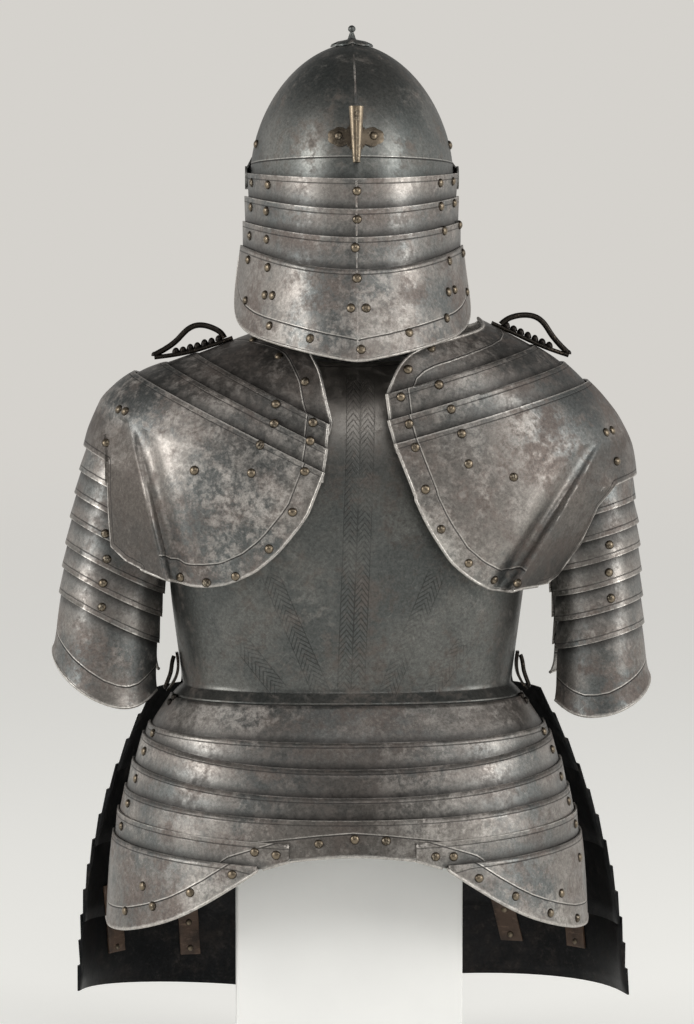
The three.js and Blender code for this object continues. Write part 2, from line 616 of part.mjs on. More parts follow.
// Pauldrons and arm defences. Each side is one stack of lames in its own frame: "out" runs sideways and up,
// "back" to the rear and "down" along the stack, so that every lap lies in a plane of constant "down".
const SHOULDER = { x: 223, z: 769 };
const SIDES = {
  left: {
    tilt: 26.5,
    slack: 0.15,
    haspDown: 0,
    strapDown: -76,
    centre: -213,
    edges: [-46, -23, 0],
    wing: [
      { down: -108, out: -110, back: 122 },
      { down: -90, out: -92, back: 130 },
      { down: -46, out: -49, back: 143 },
      { down: -23, out: -24, back: 148 },
      { down: 0, out: 0, back: 151 },
      { down: 22, out: 12, back: 153 },
      { down: 44, out: 18, back: 154 },
      { down: 70, out: 17, back: 154 },
      { down: 93, out: 13, back: 153 },
      { down: 176, out: -10, back: 142 },
    ],
    // free edge of the wing over the spine, by height
    spine: [
      { down: -49, out: -198 },
      { down: -31, out: -206 },
      { down: -12, out: -213 },
      { down: 7, out: -220 },
      { down: 34, out: -220 },
      { down: 83, out: -215 },
    ],
    // upper rim of the top plate, by turn from the middle of the back to the point of the shoulder
    rim: [
      { turn: 4, down: -49 },
      { turn: 10.7, down: -66 },
      { turn: 22.8, down: -91 },
      { turn: 48, down: -108 },
      { turn: 65, down: -103 },
      { turn: 90, down: -90 },
    ],
    fold: { down: 44, out: -16, run: -0.84, width: 18 },
    // columns of the main plate: reach at the upper edge, level with the apex of the pleat, and at the hem
    main: [
      { top: -217, apex: -221, out: -219, down: 60 },
      { top: -201, apex: -205, out: -211, down: 96 },
      { top: -182, apex: -182, out: -199, down: 122 },
      { top: -159, apex: -156, out: -180, down: 146 },
      { top: -134, apex: -124, out: -161, down: 158 },
      { top: -108, apex: -86, out: -149, down: 164 },
      { top: -82, apex: -52, out: -142, down: 166 },
      { top: -64, apex: -34, out: -133, down: 168 },
      { top: -44, apex: -16, out: -124, down: 170 },
      { top: -34, apex: -8, out: -100, down: 174 },
      { top: -26, apex: -2, out: -78, down: 175 },
      { top: -19, apex: 3, out: -58, down: 170 },
      { top: -14, apex: 7, out: -42, down: 143 },
      { top: -9, apex: 10, out: -28, down: 117 },
      { top: -5, apex: 13, out: -16, down: 93 },
      { top: -1.5, apex: 16, out: 4, down: 93 },
    ],
    armEdges: [93, 118, 142, 167, 194, 217, 243],
    arm: [
      { down: 85, out: 14.6, in: -106 },
      { down: 93, out: 13, in: -108 },
      { down: 185, out: -11.5, in: -133 },
      { down: 243, out: -31, in: -154 },
      { down: 323, out: -66, in: -182 },
    ],
    hem: [
      { turn: -160, down: 272 },
      { turn: -80, down: 279 },
      { turn: 0, down: 300 },
      { turn: 50, down: 318 },
      { turn: 80, down: 322 },
      { turn: 120, down: 315 },
      { turn: 160, down: 288 },
    ],
  },
  right: {
    tilt: 15.5,
    slack: 0.35,
    haspDown: 10,
    strapDown: -70,
    centre: -186,
    edges: [-33, -7, 17.5],
    wing: [
      { down: -92, out: -84, back: 124 },
      { down: -69, out: -60, back: 132 },
      { down: -33, out: -18, back: 141 },
      { down: -13, out: 2.7, back: 145 },
      { down: 12, out: 22.5, back: 148 },
      { down: 39, out: 37.8, back: 151 },
      { down: 68, out: 48.6, back: 153 },
      { down: 96, out: 53, back: 154 },
      { down: 133, out: 48.5, back: 153 },
      { down: 209, out: 33, back: 142 },
    ],
    spine: [
      { down: -31, out: -186 },
      { down: -13, out: -191 },
      { down: 20, out: -191 },
      { down: 60, out: -187 },
      { down: 91, out: -184 },
    ],
    rim: [
      { turn: 0, down: -31 },
      { turn: 4, down: -50 },
      { turn: 12, down: -62 },
      { turn: 22, down: -68 },
      { turn: 40, down: -67 },
      { turn: 60, down: -66 },
      { turn: 90, down: -76 },
    ],
    fold: { down: 75, out: 21, run: -1.13, width: 18 },
    main: [
      { top: -191, apex: -185, out: -186, down: 78 },
      { top: -176, apex: -171, out: -180, down: 112 },
      { top: -158, apex: -152, out: -168, down: 149 },
      { top: -136, apex: -126, out: -152, down: 173 },
      { top: -110, apex: -92, out: -136, down: 188 },
      { top: -84, apex: -52, out: -125, down: 193 },
      { top: -56, apex: -15, out: -119, down: 195 },
      { top: -38, apex: 3, out: -112, down: 196 },
      { top: -20, apex: 21, out: -104, down: 197 },
      { top: -10, apex: 28, out: -90, down: 201 },
      { top: -4, apex: 33, out: -76, down: 204 },
      { top: 2, apex: 37, out: -62, down: 200 },
      { top: 7, apex: 40, out: -30, down: 174 },
      { top: 12, apex: 43, out: -4, down: 142 },
      { top: 16, apex: 45, out: 20, down: 126 },
      { top: 20, apex: 47, out: 40, down: 126 },
    ],
    armEdges: [126, 151, 176, 200, 226, 252, 280],
    arm: [
      { down: 118, out: 51.2, in: -63 },
      { down: 126, out: 47.2, in: -64 },
      { down: 175, out: 40, in: -69 },
      { down: 232, out: 28, in: -75 },
      { down: 313, out: 10, in: -94 },
      { down: 356, out: 0, in: -101 },
    ],
    hem: [
      { turn: -160, down: 308 },
      { turn: -80, down: 315 },
      { turn: 0, down: 336 },
      { turn: 50, down: 352 },
      { turn: 80, down: 357 },
      { turn: 120, down: 352 },
      { turn: 160, down: 332 },
    ],
  },
};
for (const s of Object.values(SIDES)) {
  s.wingOut = track(s.wing, "down", "out");
  s.wingBack = track(s.wing, "down", "back");
  s.spineOut = track(s.spine, "down", "out");
  s.rimDown = track(s.rim, "turn", "down");
  s.armOut = track(s.arm, "down", "out");
  s.armIn = track(s.arm, "down", "in");
  s.hemDown = track(s.hem, "turn", "down");
}

// In front the wings are deeper, for the breast, and end short of its keel.
const FRONT = { deeper: 1.12, first: 17 };
const ARM_DEPTH = 61;
const ARM_REACH = 160;
const PAULDRON_LAP = 10;
const ARM_LAP = 8;
const FOLD_DEPTH = { valley: 13, valleyWidth: 15, ridge: 5, edge: 74 };

const local = (out, back, down) => new THREE.Vector3(out, back, -down);

// The wing's section is an ellipse, from the middle of the back (turn 0) to the point of the shoulder (90).
const turnOf = (s, out, down) => {
  const long = s.wingOut(down) - s.centre;
  return (Math.asin(clamp((out - s.centre) / long, -1, 1)) * 180) / Math.PI;
};

function wingPoint(s, turn, down, inset, front) {
  const long = s.wingOut(down) - s.centre - inset;
  const deep = s.wingBack(down) * (front ? FRONT.deeper : 1) - inset;
  const out = s.centre + long * Math.sin(rad(turn));
  const back = deep * Math.cos(rad(turn));
  return front ? local(out, -back, down) : local(out, back + wingFold(s, out, down, deep, long), down);
}

// A pleat runs from the point of the shoulder to the armpit: a valley, a ridge, and a flat facet to the arm.
function wingFold(s, out, down, deep, long) {
  const { down: apex, out: start, run, width } = s.fold;
  const hem = s.main[8].down;
  const grown = clamp((down - apex) / (hem - apex));
  if (grown <= 0) return 0;
  const baseAt = (o) => deep * Math.sqrt(Math.max(0, 1 - ((o - s.centre) / long) ** 2));
  const ridgeOut = start + run * (down - apex);
  const fromRidge = out - ridgeOut;
  const { valley, valleyWidth, ridge, edge } = FOLD_DEPTH;
  if (fromRidge <= 0) {
    const dip = Math.exp(-(((fromRidge + width) / valleyWidth) ** 2)) * clamp(-fromRidge / 8);
    return grown * ridge * clamp(1 + fromRidge / 12) - Math.sqrt(grown) * valley * dip;
  }
  const last = s.main[11];
  const { out: hemOut, down: hemDown } = s.main[14];
  const edgeOut = lerp(hemOut, last.out, clamp((down - hemDown) / (last.down - hemDown)));
  if (out > edgeOut) return 0;
  const top = baseAt(ridgeOut) + grown * ridge;
  const low = Math.min(baseAt(edgeOut), edge);
  return lerp(top, low, clamp(fromRidge / Math.max(1, edgeOut - ridgeOut))) - baseAt(out);
}

// u runs from the rear end over the shoulder to the front end
const firstTurn = (s, down, front) => Math.max(turnOf(s, s.spineOut(down), down), front ? FRONT.first : -9);
function pauldronLame(s, k) {
  const next = s.edges[k];
  const low = next + PAULDRON_LAP;
  const face = (thickness) => (u, row) => {
    const front = u > 0.5;
    const along = 1 - Math.abs(2 * u - 1);
    const rimStart = front ? FRONT.first : s.rim[0].turn;
    const rimTurn = lerp(rimStart, 90, along);
    const upper = k === 0 ? s.rimDown(rimTurn) : s.edges[k - 1];
    const t = row / (k === 0 ? 3 : 2);
    const down = lerp(upper, low, t);
    const upperTurn = k === 0 ? rimTurn : lerp(firstTurn(s, upper, front), 90, along);
    const turn = lerp(upperTurn, lerp(firstTurn(s, low, front), 90, along), t);
    const shown = k === 0 ? Math.min(upper + 10, next - 12) : upper;
    const inset = ((STEP + (k === 2 ? s.slack : 0.25)) * Math.max(0, down - shown)) / (next - shown);
    return wingPoint(s, turn, down, inset + thickness, front);
  };
  return wallGeometry({ columns: 22, rows: k === 0 ? 3 : 2, outer: face(0), inner: face(WALL) });
}

const MAIN_ROWS = [0, 0.16, 0.5, 1, 1.25, 1.5, 1.75, 2];
function mainPlate(s) {
  const middle = { turn: 90 };
  const all = [...s.main, middle, ...[...s.main].reverse()];
  const columns = all.length - 1;
  const start = s.edges[2];
  const armhole = s.main[14].down;
  const face = (thickness) => (u, row) => {
    const i = Math.round(u * columns);
    const c = all[i];
    const front = i > columns / 2;
    const hem = c.turn ? armhole : c.down;
    const t = MAIN_ROWS[row];
    const down = t < 1 ? lerp(start, s.fold.down, t) : lerp(s.fold.down, hem, t - 1);
    const out = t < 1 ? lerp(c.top, c.apex, t) : lerp(c.apex, c.out, t - 1);
    let turn = c.turn ?? turnOf(s, out, down);
    if (front) turn = lerp(FRONT.first, 90, (turn + 9) / 99);
    return wingPoint(s, turn, down, thickness, front);
  };
  return wallGeometry({ columns, rows: MAIN_ROWS.length - 1, outer: face(0), inner: face(WALL) });
}

// Arm rings, from the outside of the arm (turn 0) round the rear and the front to the open side
function armPoint(s, turn, down, inset) {
  const middle = (s.armOut(down) + s.armIn(down)) / 2;
  const half = (s.armOut(down) - s.armIn(down)) / 2 - inset;
  return local(middle + half * Math.cos(rad(turn)), (ARM_DEPTH - inset) * Math.sin(rad(turn)), down);
}

// Each upper lame lies over the one below it.
function armLame(s, k) {
  const upper = s.armEdges[k];
  const lower = s.armEdges[k + 1];
  return lame({
    columns: 16,
    surface: (u, down, inset) => armPoint(s, lerp(-ARM_REACH, ARM_REACH, u), down, inset),
    from: () => upper - ARM_LAP,
    to: () => lower,
    shown: () => lower,
    slope: () => STEP / (lower - upper),
  });
}

// Cuff: the long last plate over the elbow, with a flared hem that drops at the rear
const CUFF = { flare: 4, swell: 34, rows: [0, 0.4, 0.75, 1] };
function cuff(s) {
  const upper = s.armEdges[6];
  const rate = STEP / (upper - s.armEdges[5]);
  const face = (thickness) => (u, row) => {
    const turn = lerp(-ARM_REACH, ARM_REACH, u);
    const t = row === 0 ? 0 : CUFF.rows[row - 1];
    const down = row === 0 ? upper - ARM_LAP : lerp(upper + 0.5, s.hemDown(turn), t);
    const tucked = STEP + rate * Math.max(0, upper - down);
    const inset = tucked - STEP * smooth((down - upper) / CUFF.swell) - CUFF.flare * smooth((t - 0.7) / 0.3);
    return armPoint(s, turn, down, inset + thickness);
  };
  return wallGeometry({ columns: 16, rows: CUFF.rows.length, outer: face(0), inner: face(WALL) });
}

// Hasp on the shoulder: a bar on the lames, a row of beads and a bowed spring over them
const HASP = { from: -76, to: -30, lift: 0.6, width: 13, thick: 2.4 };
const HASP_BOW = [
  { down: -70, lift: 4 },
  { down: -66, lift: 16 },
  { down: -54, lift: 27 },
  { down: -42, lift: 22 },
  { down: -32, lift: 12 },
  { down: -18, lift: 8 },
];
function shoulderHasp(s) {
  const along = (at, lift, aside) => {
    const down = at + s.haspDown;
    return local(s.wingOut(down) + lift * 0.74, aside, down - lift * 0.67);
  };
  const bar = wallGeometry({
    columns: 4,
    rows: 1,
    outer: (u, row) => along(lerp(HASP.from, HASP.to, u), HASP.lift + HASP.thick, (row - 0.5) * HASP.width),
    inner: (u, row) => along(lerp(HASP.from, HASP.to, u), HASP.lift, (row - 0.5) * HASP.width),
  });
  const section = new THREE.Shape();
  section.absarc(0, 0, 2.6, 0, 2 * Math.PI);
  const bow = new THREE.ExtrudeGeometry(section, {
    steps: 12,
    curveSegments: 3,
    extrudePath: new THREE.CatmullRomCurve3(HASP_BOW.map(({ down, lift }) => along(down, lift, 0))),
  });
  const beads = [-60, -50, -40].map((down) =>
    placed(new THREE.SphereGeometry(4, 7, 5), along(down, HASP.lift + HASP.thick + 2, 0).toArray()),
  );
  return joined([bar, bow, ...beads]);
}

// Waist hasp: a bracket on each side of the cuirass, down over its flange
const WAIST_HASP = [
  { z: 474, lift: 0.4 },
  { z: 462, lift: 0.4 },
  { z: 448, lift: 4 },
  { z: 434, lift: 6 },
];
function waistHasp(side) {
  const face = (thickness) => (u, row) => {
    const { z, lift } = WAIST_HASP[Math.round(u * 3)];
    const swell = 1 - 0.35 * Math.abs(2 * u - 1);
    return new THREE.Vector3(side * (trunkHalf(z) + lift + thickness), 13 + (row - 0.5) * 18 * swell, z);
  };
  return wallGeometry({ columns: 3, rows: 1, outer: face(3), inner: face(0) });
}

function mirrored(geometry) {
  const position = geometry.attributes.position;
  for (let i = 0; i < position.count; i++) position.setX(i, -position.getX(i));
  const index = geometry.index.array;
  for (let i = 0; i < index.length; i += 3) [index[i + 1], index[i + 2]] = [index[i + 2], index[i + 1]];
  return geometry;
}

// Each side's stack in its own frame: x is "out", y is "back" and z is minus "down".
for (const side of ["left", "right"]) {
  const s = SIDES[side];
  const sign = side === "left" ? 1 : -1;
  const frame = new THREE.Group();
  frame.position.set(sign * SHOULDER.x, 0, SHOULDER.z);
  frame.rotation.y = -sign * rad(s.tilt);
  armour.add(frame);
  const put = (name, geometry, finish = STEEL) =>
    add(`${name}_${side}`, sign > 0 ? geometry : mirrored(geometry), finish, frame);
  ["pauldron_top", "pauldron_lame_1", "pauldron_lame_2"].forEach((name, k) => put(name, pauldronLame(s, k)));
  put("pauldron_main", mainPlate(s));
  for (let k = 0; k < 6; k++) put(`arm_lame_${k + 1}`, armLame(s, k));
  put("arm_cuff", cuff(s));
  put("shoulder_hasp", shoulderHasp(s), BRASS);
  add(`waist_hasp_${side}`, waistHasp(sign), BRASS);
}

// Plinth and the post inside the armour that carries the cuirass and the helmet
const board = new THREE.BoxGeometry(PLINTH.width, PLINTH.depth, PLINTH.top);
add("plinth", placed(board, [0, 0, PLINTH.top / 2]), WHITE);
const POST = { width: 90, depth: 60, yokeZ: 773.9, yokeWidth: 214, neck: 22 };
function post() {
  const upright = placed(
    new THREE.BoxGeometry(POST.width, POST.depth, POST.yokeZ - PLINTH.top - 0.3),
    [0, 0, (POST.yokeZ + PLINTH.top + 0.3) / 2],
  );
  const yoke = placed(new THREE.BoxGeometry(POST.yokeWidth, 44, 24), [0, 0, POST.yokeZ]);
  const top = PIVOT_Z + SKULL.radius - WALL - 0.5;
  const outline = [
    [0, POST.yokeZ], [POST.neck, POST.yokeZ], [POST.neck, top - 34], [40, top - 26], [30, top - 10], [0, top],
  ];
  const neck = new THREE.LatheGeometry(outline.map(([r, z]) => new THREE.Vector2(r, z)), 16);
  return joined([upright, yoke, placed(neck, [HELMET_X, 0, 0], [Math.PI / 2, 0, 0])]);
}
add("post", post(), WHITE);
for (const [side, sign] of [["left", 1], ["right", -1]]) {
  add(`shoulder_strap_${side}`, joined([shoulderStrap(sign), pauldronStrap(sign)]), LEATHER);
}

export default armour;
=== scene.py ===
import math
import random

import bmesh
import bpy
import numpy as np
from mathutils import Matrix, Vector
from mathutils.bvhtree import BVHTree
from mathutils.kdtree import KDTree


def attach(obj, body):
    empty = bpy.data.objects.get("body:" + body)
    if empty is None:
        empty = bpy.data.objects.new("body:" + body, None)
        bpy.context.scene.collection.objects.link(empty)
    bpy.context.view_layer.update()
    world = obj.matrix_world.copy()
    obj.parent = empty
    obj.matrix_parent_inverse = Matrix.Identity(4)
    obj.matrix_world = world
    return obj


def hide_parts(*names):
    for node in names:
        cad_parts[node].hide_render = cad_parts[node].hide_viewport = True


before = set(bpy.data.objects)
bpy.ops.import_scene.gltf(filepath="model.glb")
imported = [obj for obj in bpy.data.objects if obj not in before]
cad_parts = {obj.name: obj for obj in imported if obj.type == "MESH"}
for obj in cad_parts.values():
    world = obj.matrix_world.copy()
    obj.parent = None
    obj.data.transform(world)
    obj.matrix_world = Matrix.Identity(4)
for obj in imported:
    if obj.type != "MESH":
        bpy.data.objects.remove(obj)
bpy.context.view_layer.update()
scene = bpy.context.scene
rng = random.Random(1620)
mm = 0.001
sides = ("left", "right")

viewing = {"azimuth": 178, "elevation": 4.6, "distance": 4.6, "height": 0.62, "lens": 154.0}


def placeCamera(look):
    azimuth, elevation = math.radians(look["azimuth"]), math.radians(look["elevation"])
    level = math.cos(elevation)
    away = Vector((math.sin(azimuth) * level, -math.cos(azimuth) * level, math.sin(elevation)))
    target = Vector((0, 0, look["height"]))
    bpy.ops.object.camera_add(location=target + away * look["distance"])
    camera = bpy.context.object
    camera.rotation_euler = (-away).to_track_quat("-Z", "Y").to_euler()
    camera.data.lens = look["lens"]
    camera.data.clip_end = 60
    scene.camera = camera


placeCamera(viewing)
print("camera placed")


# Wire is one socket of a node tree, so that shader maths can be written as expressions.
class Wire:
    def __init__(self, tree, socket):
        self.tree = tree
        self.socket = socket

    def math(self, operation, first, second=None, clamp=False):
        values = {0: first} if second is None else {0: first, 1: second}
        return node(self.tree, "ShaderNodeMath", {"operation": operation, "use_clamp": clamp}, values)

    def __add__(self, other):
        return self.math("ADD", self, other)

    def __radd__(self, other):
        return self.math("ADD", other, self)

    def __sub__(self, other):
        return self.math("SUBTRACT", self, other)

    def __rsub__(self, other):
        return self.math("SUBTRACT", other, self)

    def __mul__(self, other):
        return self.math("MULTIPLY", self, other)

    def __rmul__(self, other):
        return self.math("MULTIPLY", other, self)

    def __truediv__(self, other):
        return self.math("DIVIDE", self, other)

    def absolute(self):
        return self.math("ABSOLUTE", self)

    def wrapped(self):
        return self.math("FRACT", self)

    def clamped(self):
        return self.math("ADD", self, 0.0, clamp=True)

    def greatest(self, other):
        return self.math("MAXIMUM", self, other)

    # 0 below low, 1 above high, smooth between
    def step(self, low, high):
        values = {"Value": self, "From Min": low, "From Max": high}
        return node(self.tree, "ShaderNodeMapRange", {"interpolation_type": "SMOOTHSTEP"}, values)

    # x, y and z of a vector
    def axes(self):
        parted = node(self.tree, "ShaderNodeSeparateXYZ", {}, {0: self}).socket.node
        return [Wire(self.tree, socket) for socket in parted.outputs]


# One node: its settings come first, then the values or links of its sockets
def node(tree, kind, settings=None, values=None, output=0):
    made = tree.nodes.new(kind)
    for name, value in (settings or {}).items():
        setattr(made, name, value)
    for name, value in (values or {}).items():
        if isinstance(value, Wire):
            tree.links.new(value.socket, made.inputs[name])
        else:
            made.inputs[name].default_value = value
    return Wire(tree, made.outputs[output])


def newFinish(name):
    material = bpy.data.materials.new(name)
    material.use_nodes = True
    tree = material.node_tree
    tree.nodes.clear()
    shader = tree.nodes.new("ShaderNodeBsdfPrincipled")
    out = tree.nodes.new("ShaderNodeOutputMaterial")
    tree.links.new(shader.outputs[0], out.inputs["Surface"])
    return material, tree, shader


def place(tree):
    return node(tree, "ShaderNodeTexCoord", output=3)


def noise(tree, at, scale, detail, rough, stretch=None):
    if stretch:
        at = node(tree, "ShaderNodeMapping", {}, {"Vector": at, "Scale": stretch})
    values = {"Vector": at, "Scale": scale, "Detail": detail, "Roughness": rough}
    return node(tree, "ShaderNodeTexNoise", {}, values)


def blendColours(tree, share, first, second, mode="MIX"):
    settings = {"data_type": "RGBA", "blend_type": mode, "clamp_factor": True}
    return node(tree, "ShaderNodeMix", settings, {0: share, 6: first, 7: second}, 2)


def attribute(tree, name):
    return node(tree, "ShaderNodeAttribute", {"attribute_name": name}, output=2)


def connect(tree, shader, colour, roughness, height=None, strength=0.5, distance=0.001):
    tree.links.new(colour.socket, shader.inputs["Base Color"])
    tree.links.new(roughness.socket, shader.inputs["Roughness"])
    if height:
        values = {"Height": height, "Strength": strength, "Distance": distance}
        bump = node(tree, "ShaderNodeBump", {}, values)
        tree.links.new(bump.socket, shader.inputs["Normal"])


# Engraved herringbone bands of the cuirass: foot and head in the plane of the back and half width, in metres.
# The strokes slant outwards, a line frames each band, and the band fades out at its head.
engraving = {
    "bands": [
        ((-0.0075, 0.443), (-0.0185, 0.770), 0.0075),
        ((0.0065, 0.443), (-0.0035, 0.770), 0.0075),
        ((-0.0377, 0.440), (-0.0893, 0.5695), 0.0095),
        ((-0.0825, 0.441), (-0.123, 0.497), 0.0095),
        ((0.0293, 0.440), (0.085, 0.5702), 0.0095),
        ((0.0724, 0.4417), (0.1166, 0.4975), 0.0095),
    ],
    "pitch": 0.0062, "slant": 1.3, "stroke": 0.13, "frame": 0.0006, "fade": 0.012,
}


def herringbone(at):
    look = engraving
    x, _, z = at.axes()
    total = None
    for (x0, z0), (x1, z1), half in look["bands"]:
        length = math.hypot(x1 - x0, z1 - z0)
        ux, uz = (x1 - x0) / length, (z1 - z0) / length
        along = (x - x0) * ux + (z - z0) * uz
        across = ((x - x0) * uz - (z - z0) * ux).absolute()
        inside = (1 - across.step(half - 0.0004, half + 0.0004)) * along.step(0, 0.002)
        inside = inside * (1 - along.step(length - look["fade"], length))
        cut = ((along + across * look["slant"]) / look["pitch"]).wrapped() - 0.5
        stroke = 1 - cut.absolute().step(look["stroke"] * 0.5, look["stroke"] * 1.6)
        frameLine = 1 - (across - half + look["frame"]).absolute().step(0.0002, 0.0006)
        band = inside * stroke.greatest(frameLine)
        total = band if total is None else total.greatest(band)
    return total


# Each steel: its colours, and the two levels of noise between which its brown, cool and worn patches set in
steelLooks = {
    "brightSteel": {
        "base": (0.225, 0.21, 0.195, 1), "cool": (0.12, 0.127, 0.126, 1), "brown": (0.125, 0.1, 0.088, 1),
        "sooty": (0.075, 0.064, 0.057, 1), "worn": (0.6, 0.575, 0.54, 1),
        "browning": (0.47, 0.6), "coolness": (0.42, 0.62), "wear": (0.49, 0.65),
        "roughness": 0.4, "engraved": False, "seed": 0.0,
    },
    "darkSteel": {
        "base": (0.138, 0.141, 0.134, 1), "cool": (0.092, 0.1, 0.098, 1), "brown": (0.12, 0.102, 0.089, 1),
        "sooty": (0.06, 0.054, 0.05, 1), "dusty": (0.4, 0.365, 0.335, 1), "worn": (0.37, 0.365, 0.345, 1),
        "browning": (0.5, 0.64), "coolness": (0.4, 0.6), "wear": (0.53, 0.7),
        "roughness": 0.42, "engraved": True, "seed": 3.7,
    },
    "blackenedSteel": {
        "base": (0.016, 0.016, 0.017, 1), "cool": (0.01, 0.011, 0.012, 1), "brown": (0.03, 0.022, 0.018, 1),
        "sooty": (0.01, 0.01, 0.01, 1), "worn": (0.07, 0.068, 0.066, 1),
        "browning": (0.5, 0.75), "coolness": (0.4, 0.62), "wear": (0.6, 0.85),
        "roughness": 0.5, "engraved": False, "seed": 8.1,
    },
}
# Dark marks on all steels, with the colour of the painted shade and dirt below a covering lip, the distances
# of the engraved lines from a lip and from a turned rim, and the heights between which the painted light on the
# upper cuirass sets in, in metres
steelMarks = {
    "pit": (0.035, 0.03, 0.027, 1), "groove": (0.02, 0.019, 0.019, 1), "crust": (0.018, 0.016, 0.015, 1),
    "lipLine": 0.0055, "borderLine": 0.0215, "paintedLightLevel": (0.66, 0.77),
}


# Reads the plates' attributes: "lip" and "border" are distances from a plain edge and from a turned rim, in
# metres, and the painted shade on whole areas, the painted shade and dirt below a covering lip and "engraved" are
# shares from 0 to 1.
def steelFinish(name):
    look, marks = steelLooks[name], steelMarks
    material, tree, shader = newFinish(name)
    at = node(tree, "ShaderNodeMapping", {}, {"Vector": place(tree), "Location": (look["seed"], 0, 0)})
    patina = noise(tree, at, 11, 8, 0.62)
    brown = noise(tree, at, 17, 10, 0.68)
    mottle = noise(tree, at, 95, 8, 0.7)
    fine = noise(tree, at, 420, 6, 0.65)
    slanted = node(tree, "ShaderNodeMapping", {}, {"Vector": at, "Rotation": (0.5, 0.7, 0.3)})
    scratch = noise(tree, slanted, 9, 3, 0.5, (60, 60, 1.6))
    scratchAcross = noise(tree, slanted, 9, 3, 0.5, (1.4, 60, 60))
    speckle = noise(tree, at, 210, 5, 0.75)
    lip, border, soot, laid = (attribute(tree, key) for key in ("lip", "border", "soot", "laid"))

    colour = blendColours(tree, patina.step(*look["coolness"]), look["base"], look["cool"])
    stain = (brown * 0.6 + mottle * 0.42).step(*look["browning"])
    colour = blendColours(tree, stain * 0.85, colour, look["brown"])
    # Painted shade and dirt below a covering lip: the steel turns cooler here, and darker close to the lip
    # further down.
    colour = blendColours(tree, (laid * 1.6 + patina - 0.5).clamped() * 0.6, colour, look["cool"])
    # Painted shade: plates and areas marked for it are darkened towards the shade colour, and lose most of their
    # bare metal.
    colour = blendColours(tree, soot * (0.72 + stain * 0.28), colour, look["sooty"])

    # Bare metal shows on rubbed patches and in scratches. Along plain edges and turned rims the worn colour
    # stands for worn metal and a painted highlight together, and the ridge beside the engraved line is a painted
    # highlight over a raised bump.
    rubbed = (noise(tree, at, 7, 5, 0.55) * 0.4 + mottle * 0.4 + speckle * 0.22).step(*look["wear"])
    edge = (1 - (lip + (mottle - 0.5) * 0.004).step(0.0003, 0.002)) * 0.75
    rim = (1 - (border + (mottle - 0.5) * 0.004).step(0.001, 0.0032)) * 0.8
    lines = (1 - (lip - marks["lipLine"]).absolute().step(0.0003, 0.0009)) * 0.8
    lines = lines.greatest(1 - (border - marks["borderLine"]).absolute().step(0.0004, 0.001))
    hairs = scratch.step(0.62, 0.74).greatest(scratchAcross.step(0.62, 0.74)) * 0.16
    ridge = (1 - (border - marks["borderLine"] - 0.0013).absolute().step(0.0003, 0.0008)) * 0.6
    bright = (rubbed * 0.8 + hairs * (1 - stain)) * (1 - soot * 0.6) * (1 - laid.step(0.1, 0.8) * 0.6)
    bright = bright.greatest((edge.greatest(rim) * 0.75).greatest(ridge))
    colour = blendColours(tree, bright, colour, look["worn"])

    dust = 1 + (noise(tree, at, 300, 4, 0.85) - 0.5) * 2.2
    colour = blendColours(tree, 0.85, colour, dust, "MULTIPLY")
    pits = (mottle * 0.5 + speckle * 0.5).step(0.52, 0.66)
    colour = blendColours(tree, pits * 0.62, colour, marks["pit"])
    grooves = lines
    if look["engraved"]:
        faint = 0.2 + 0.5 * patina.step(0.4, 0.62)
        cuirass = attribute(tree, "engraved")
        grooves = lines.greatest(herringbone(place(tree)) * faint * cuirass)
        # Painted light: the upper part of the cuirass is painted lighter, as if more light fell on it.
        _, _, level = place(tree).axes()
        colour = blendColours(tree, level.step(*marks["paintedLightLevel"]) * cuirass * 0.65, colour, look["dusty"])
    colour = blendColours(tree, grooves * 0.75, colour, marks["groove"])
    # Painted shade and dirt darken the steel close below a covering lip.
    colour = blendColours(tree, laid.step(0.5, 1.0) * 0.85, colour, marks["crust"])

    tree.links.new((0.9 - stain * 0.35 - pits * 0.2).socket, shader.inputs["Metallic"])
    roughness = look["roughness"] + (patina - 0.5) * 0.3 + stain * 0.2 + grooves * 0.2 + (fine - 0.5) * 0.25
    dents = noise(tree, at, 26, 3, 0.5) * 0.55 + mottle * 0.06 + fine * 0.02
    height = dents + ridge * 0.25 - grooves * 0.35 - pits * 0.09
    connect(tree, shader, colour, roughness.clamped(), height, 0.5, 0.0011)
    return material


brassLook = {
    "base": (0.19, 0.155, 0.112, 1), "dark": (0.035, 0.028, 0.022, 1), "worn": (0.52, 0.46, 0.36, 1),
}
ironLook = {
    "base": (0.03, 0.026, 0.022, 1), "dark": (0.013, 0.011, 0.01, 1), "worn": (0.16, 0.13, 0.1, 1),
}


# Brass of the rivets and iron of the hasps, dark with grime and painted shade where the attribute for them is
# high
def fittingFinish(name, look):
    material, tree, shader = newFinish(name)
    shader.inputs["Metallic"].default_value = 0.9
    at = place(tree)
    patches = noise(tree, at, 60, 8, 0.6)
    fine = noise(tree, at, 500, 5, 0.6)
    colour = blendColours(tree, patches.step(0.45, 0.66), look["base"], look["dark"])
    colour = blendColours(tree, (patches * 0.5 + fine * 0.5).step(0.52, 0.66) * 0.7, colour, look["worn"])
    colour = blendColours(tree, attribute(tree, "grime").step(0.12, 0.75) * 0.9, colour, look["dark"])
    roughness = 0.38 + (patches - 0.5) * 0.4
    connect(tree, shader, colour, roughness.clamped(), patches * 0.6 + fine * 0.3, 0.4, 0.0006)
    return material


leatherLook = {
    "base": (0.085, 0.05, 0.032, 1), "dark": (0.03, 0.018, 0.012, 1), "worn": (0.17, 0.11, 0.075, 1),
}


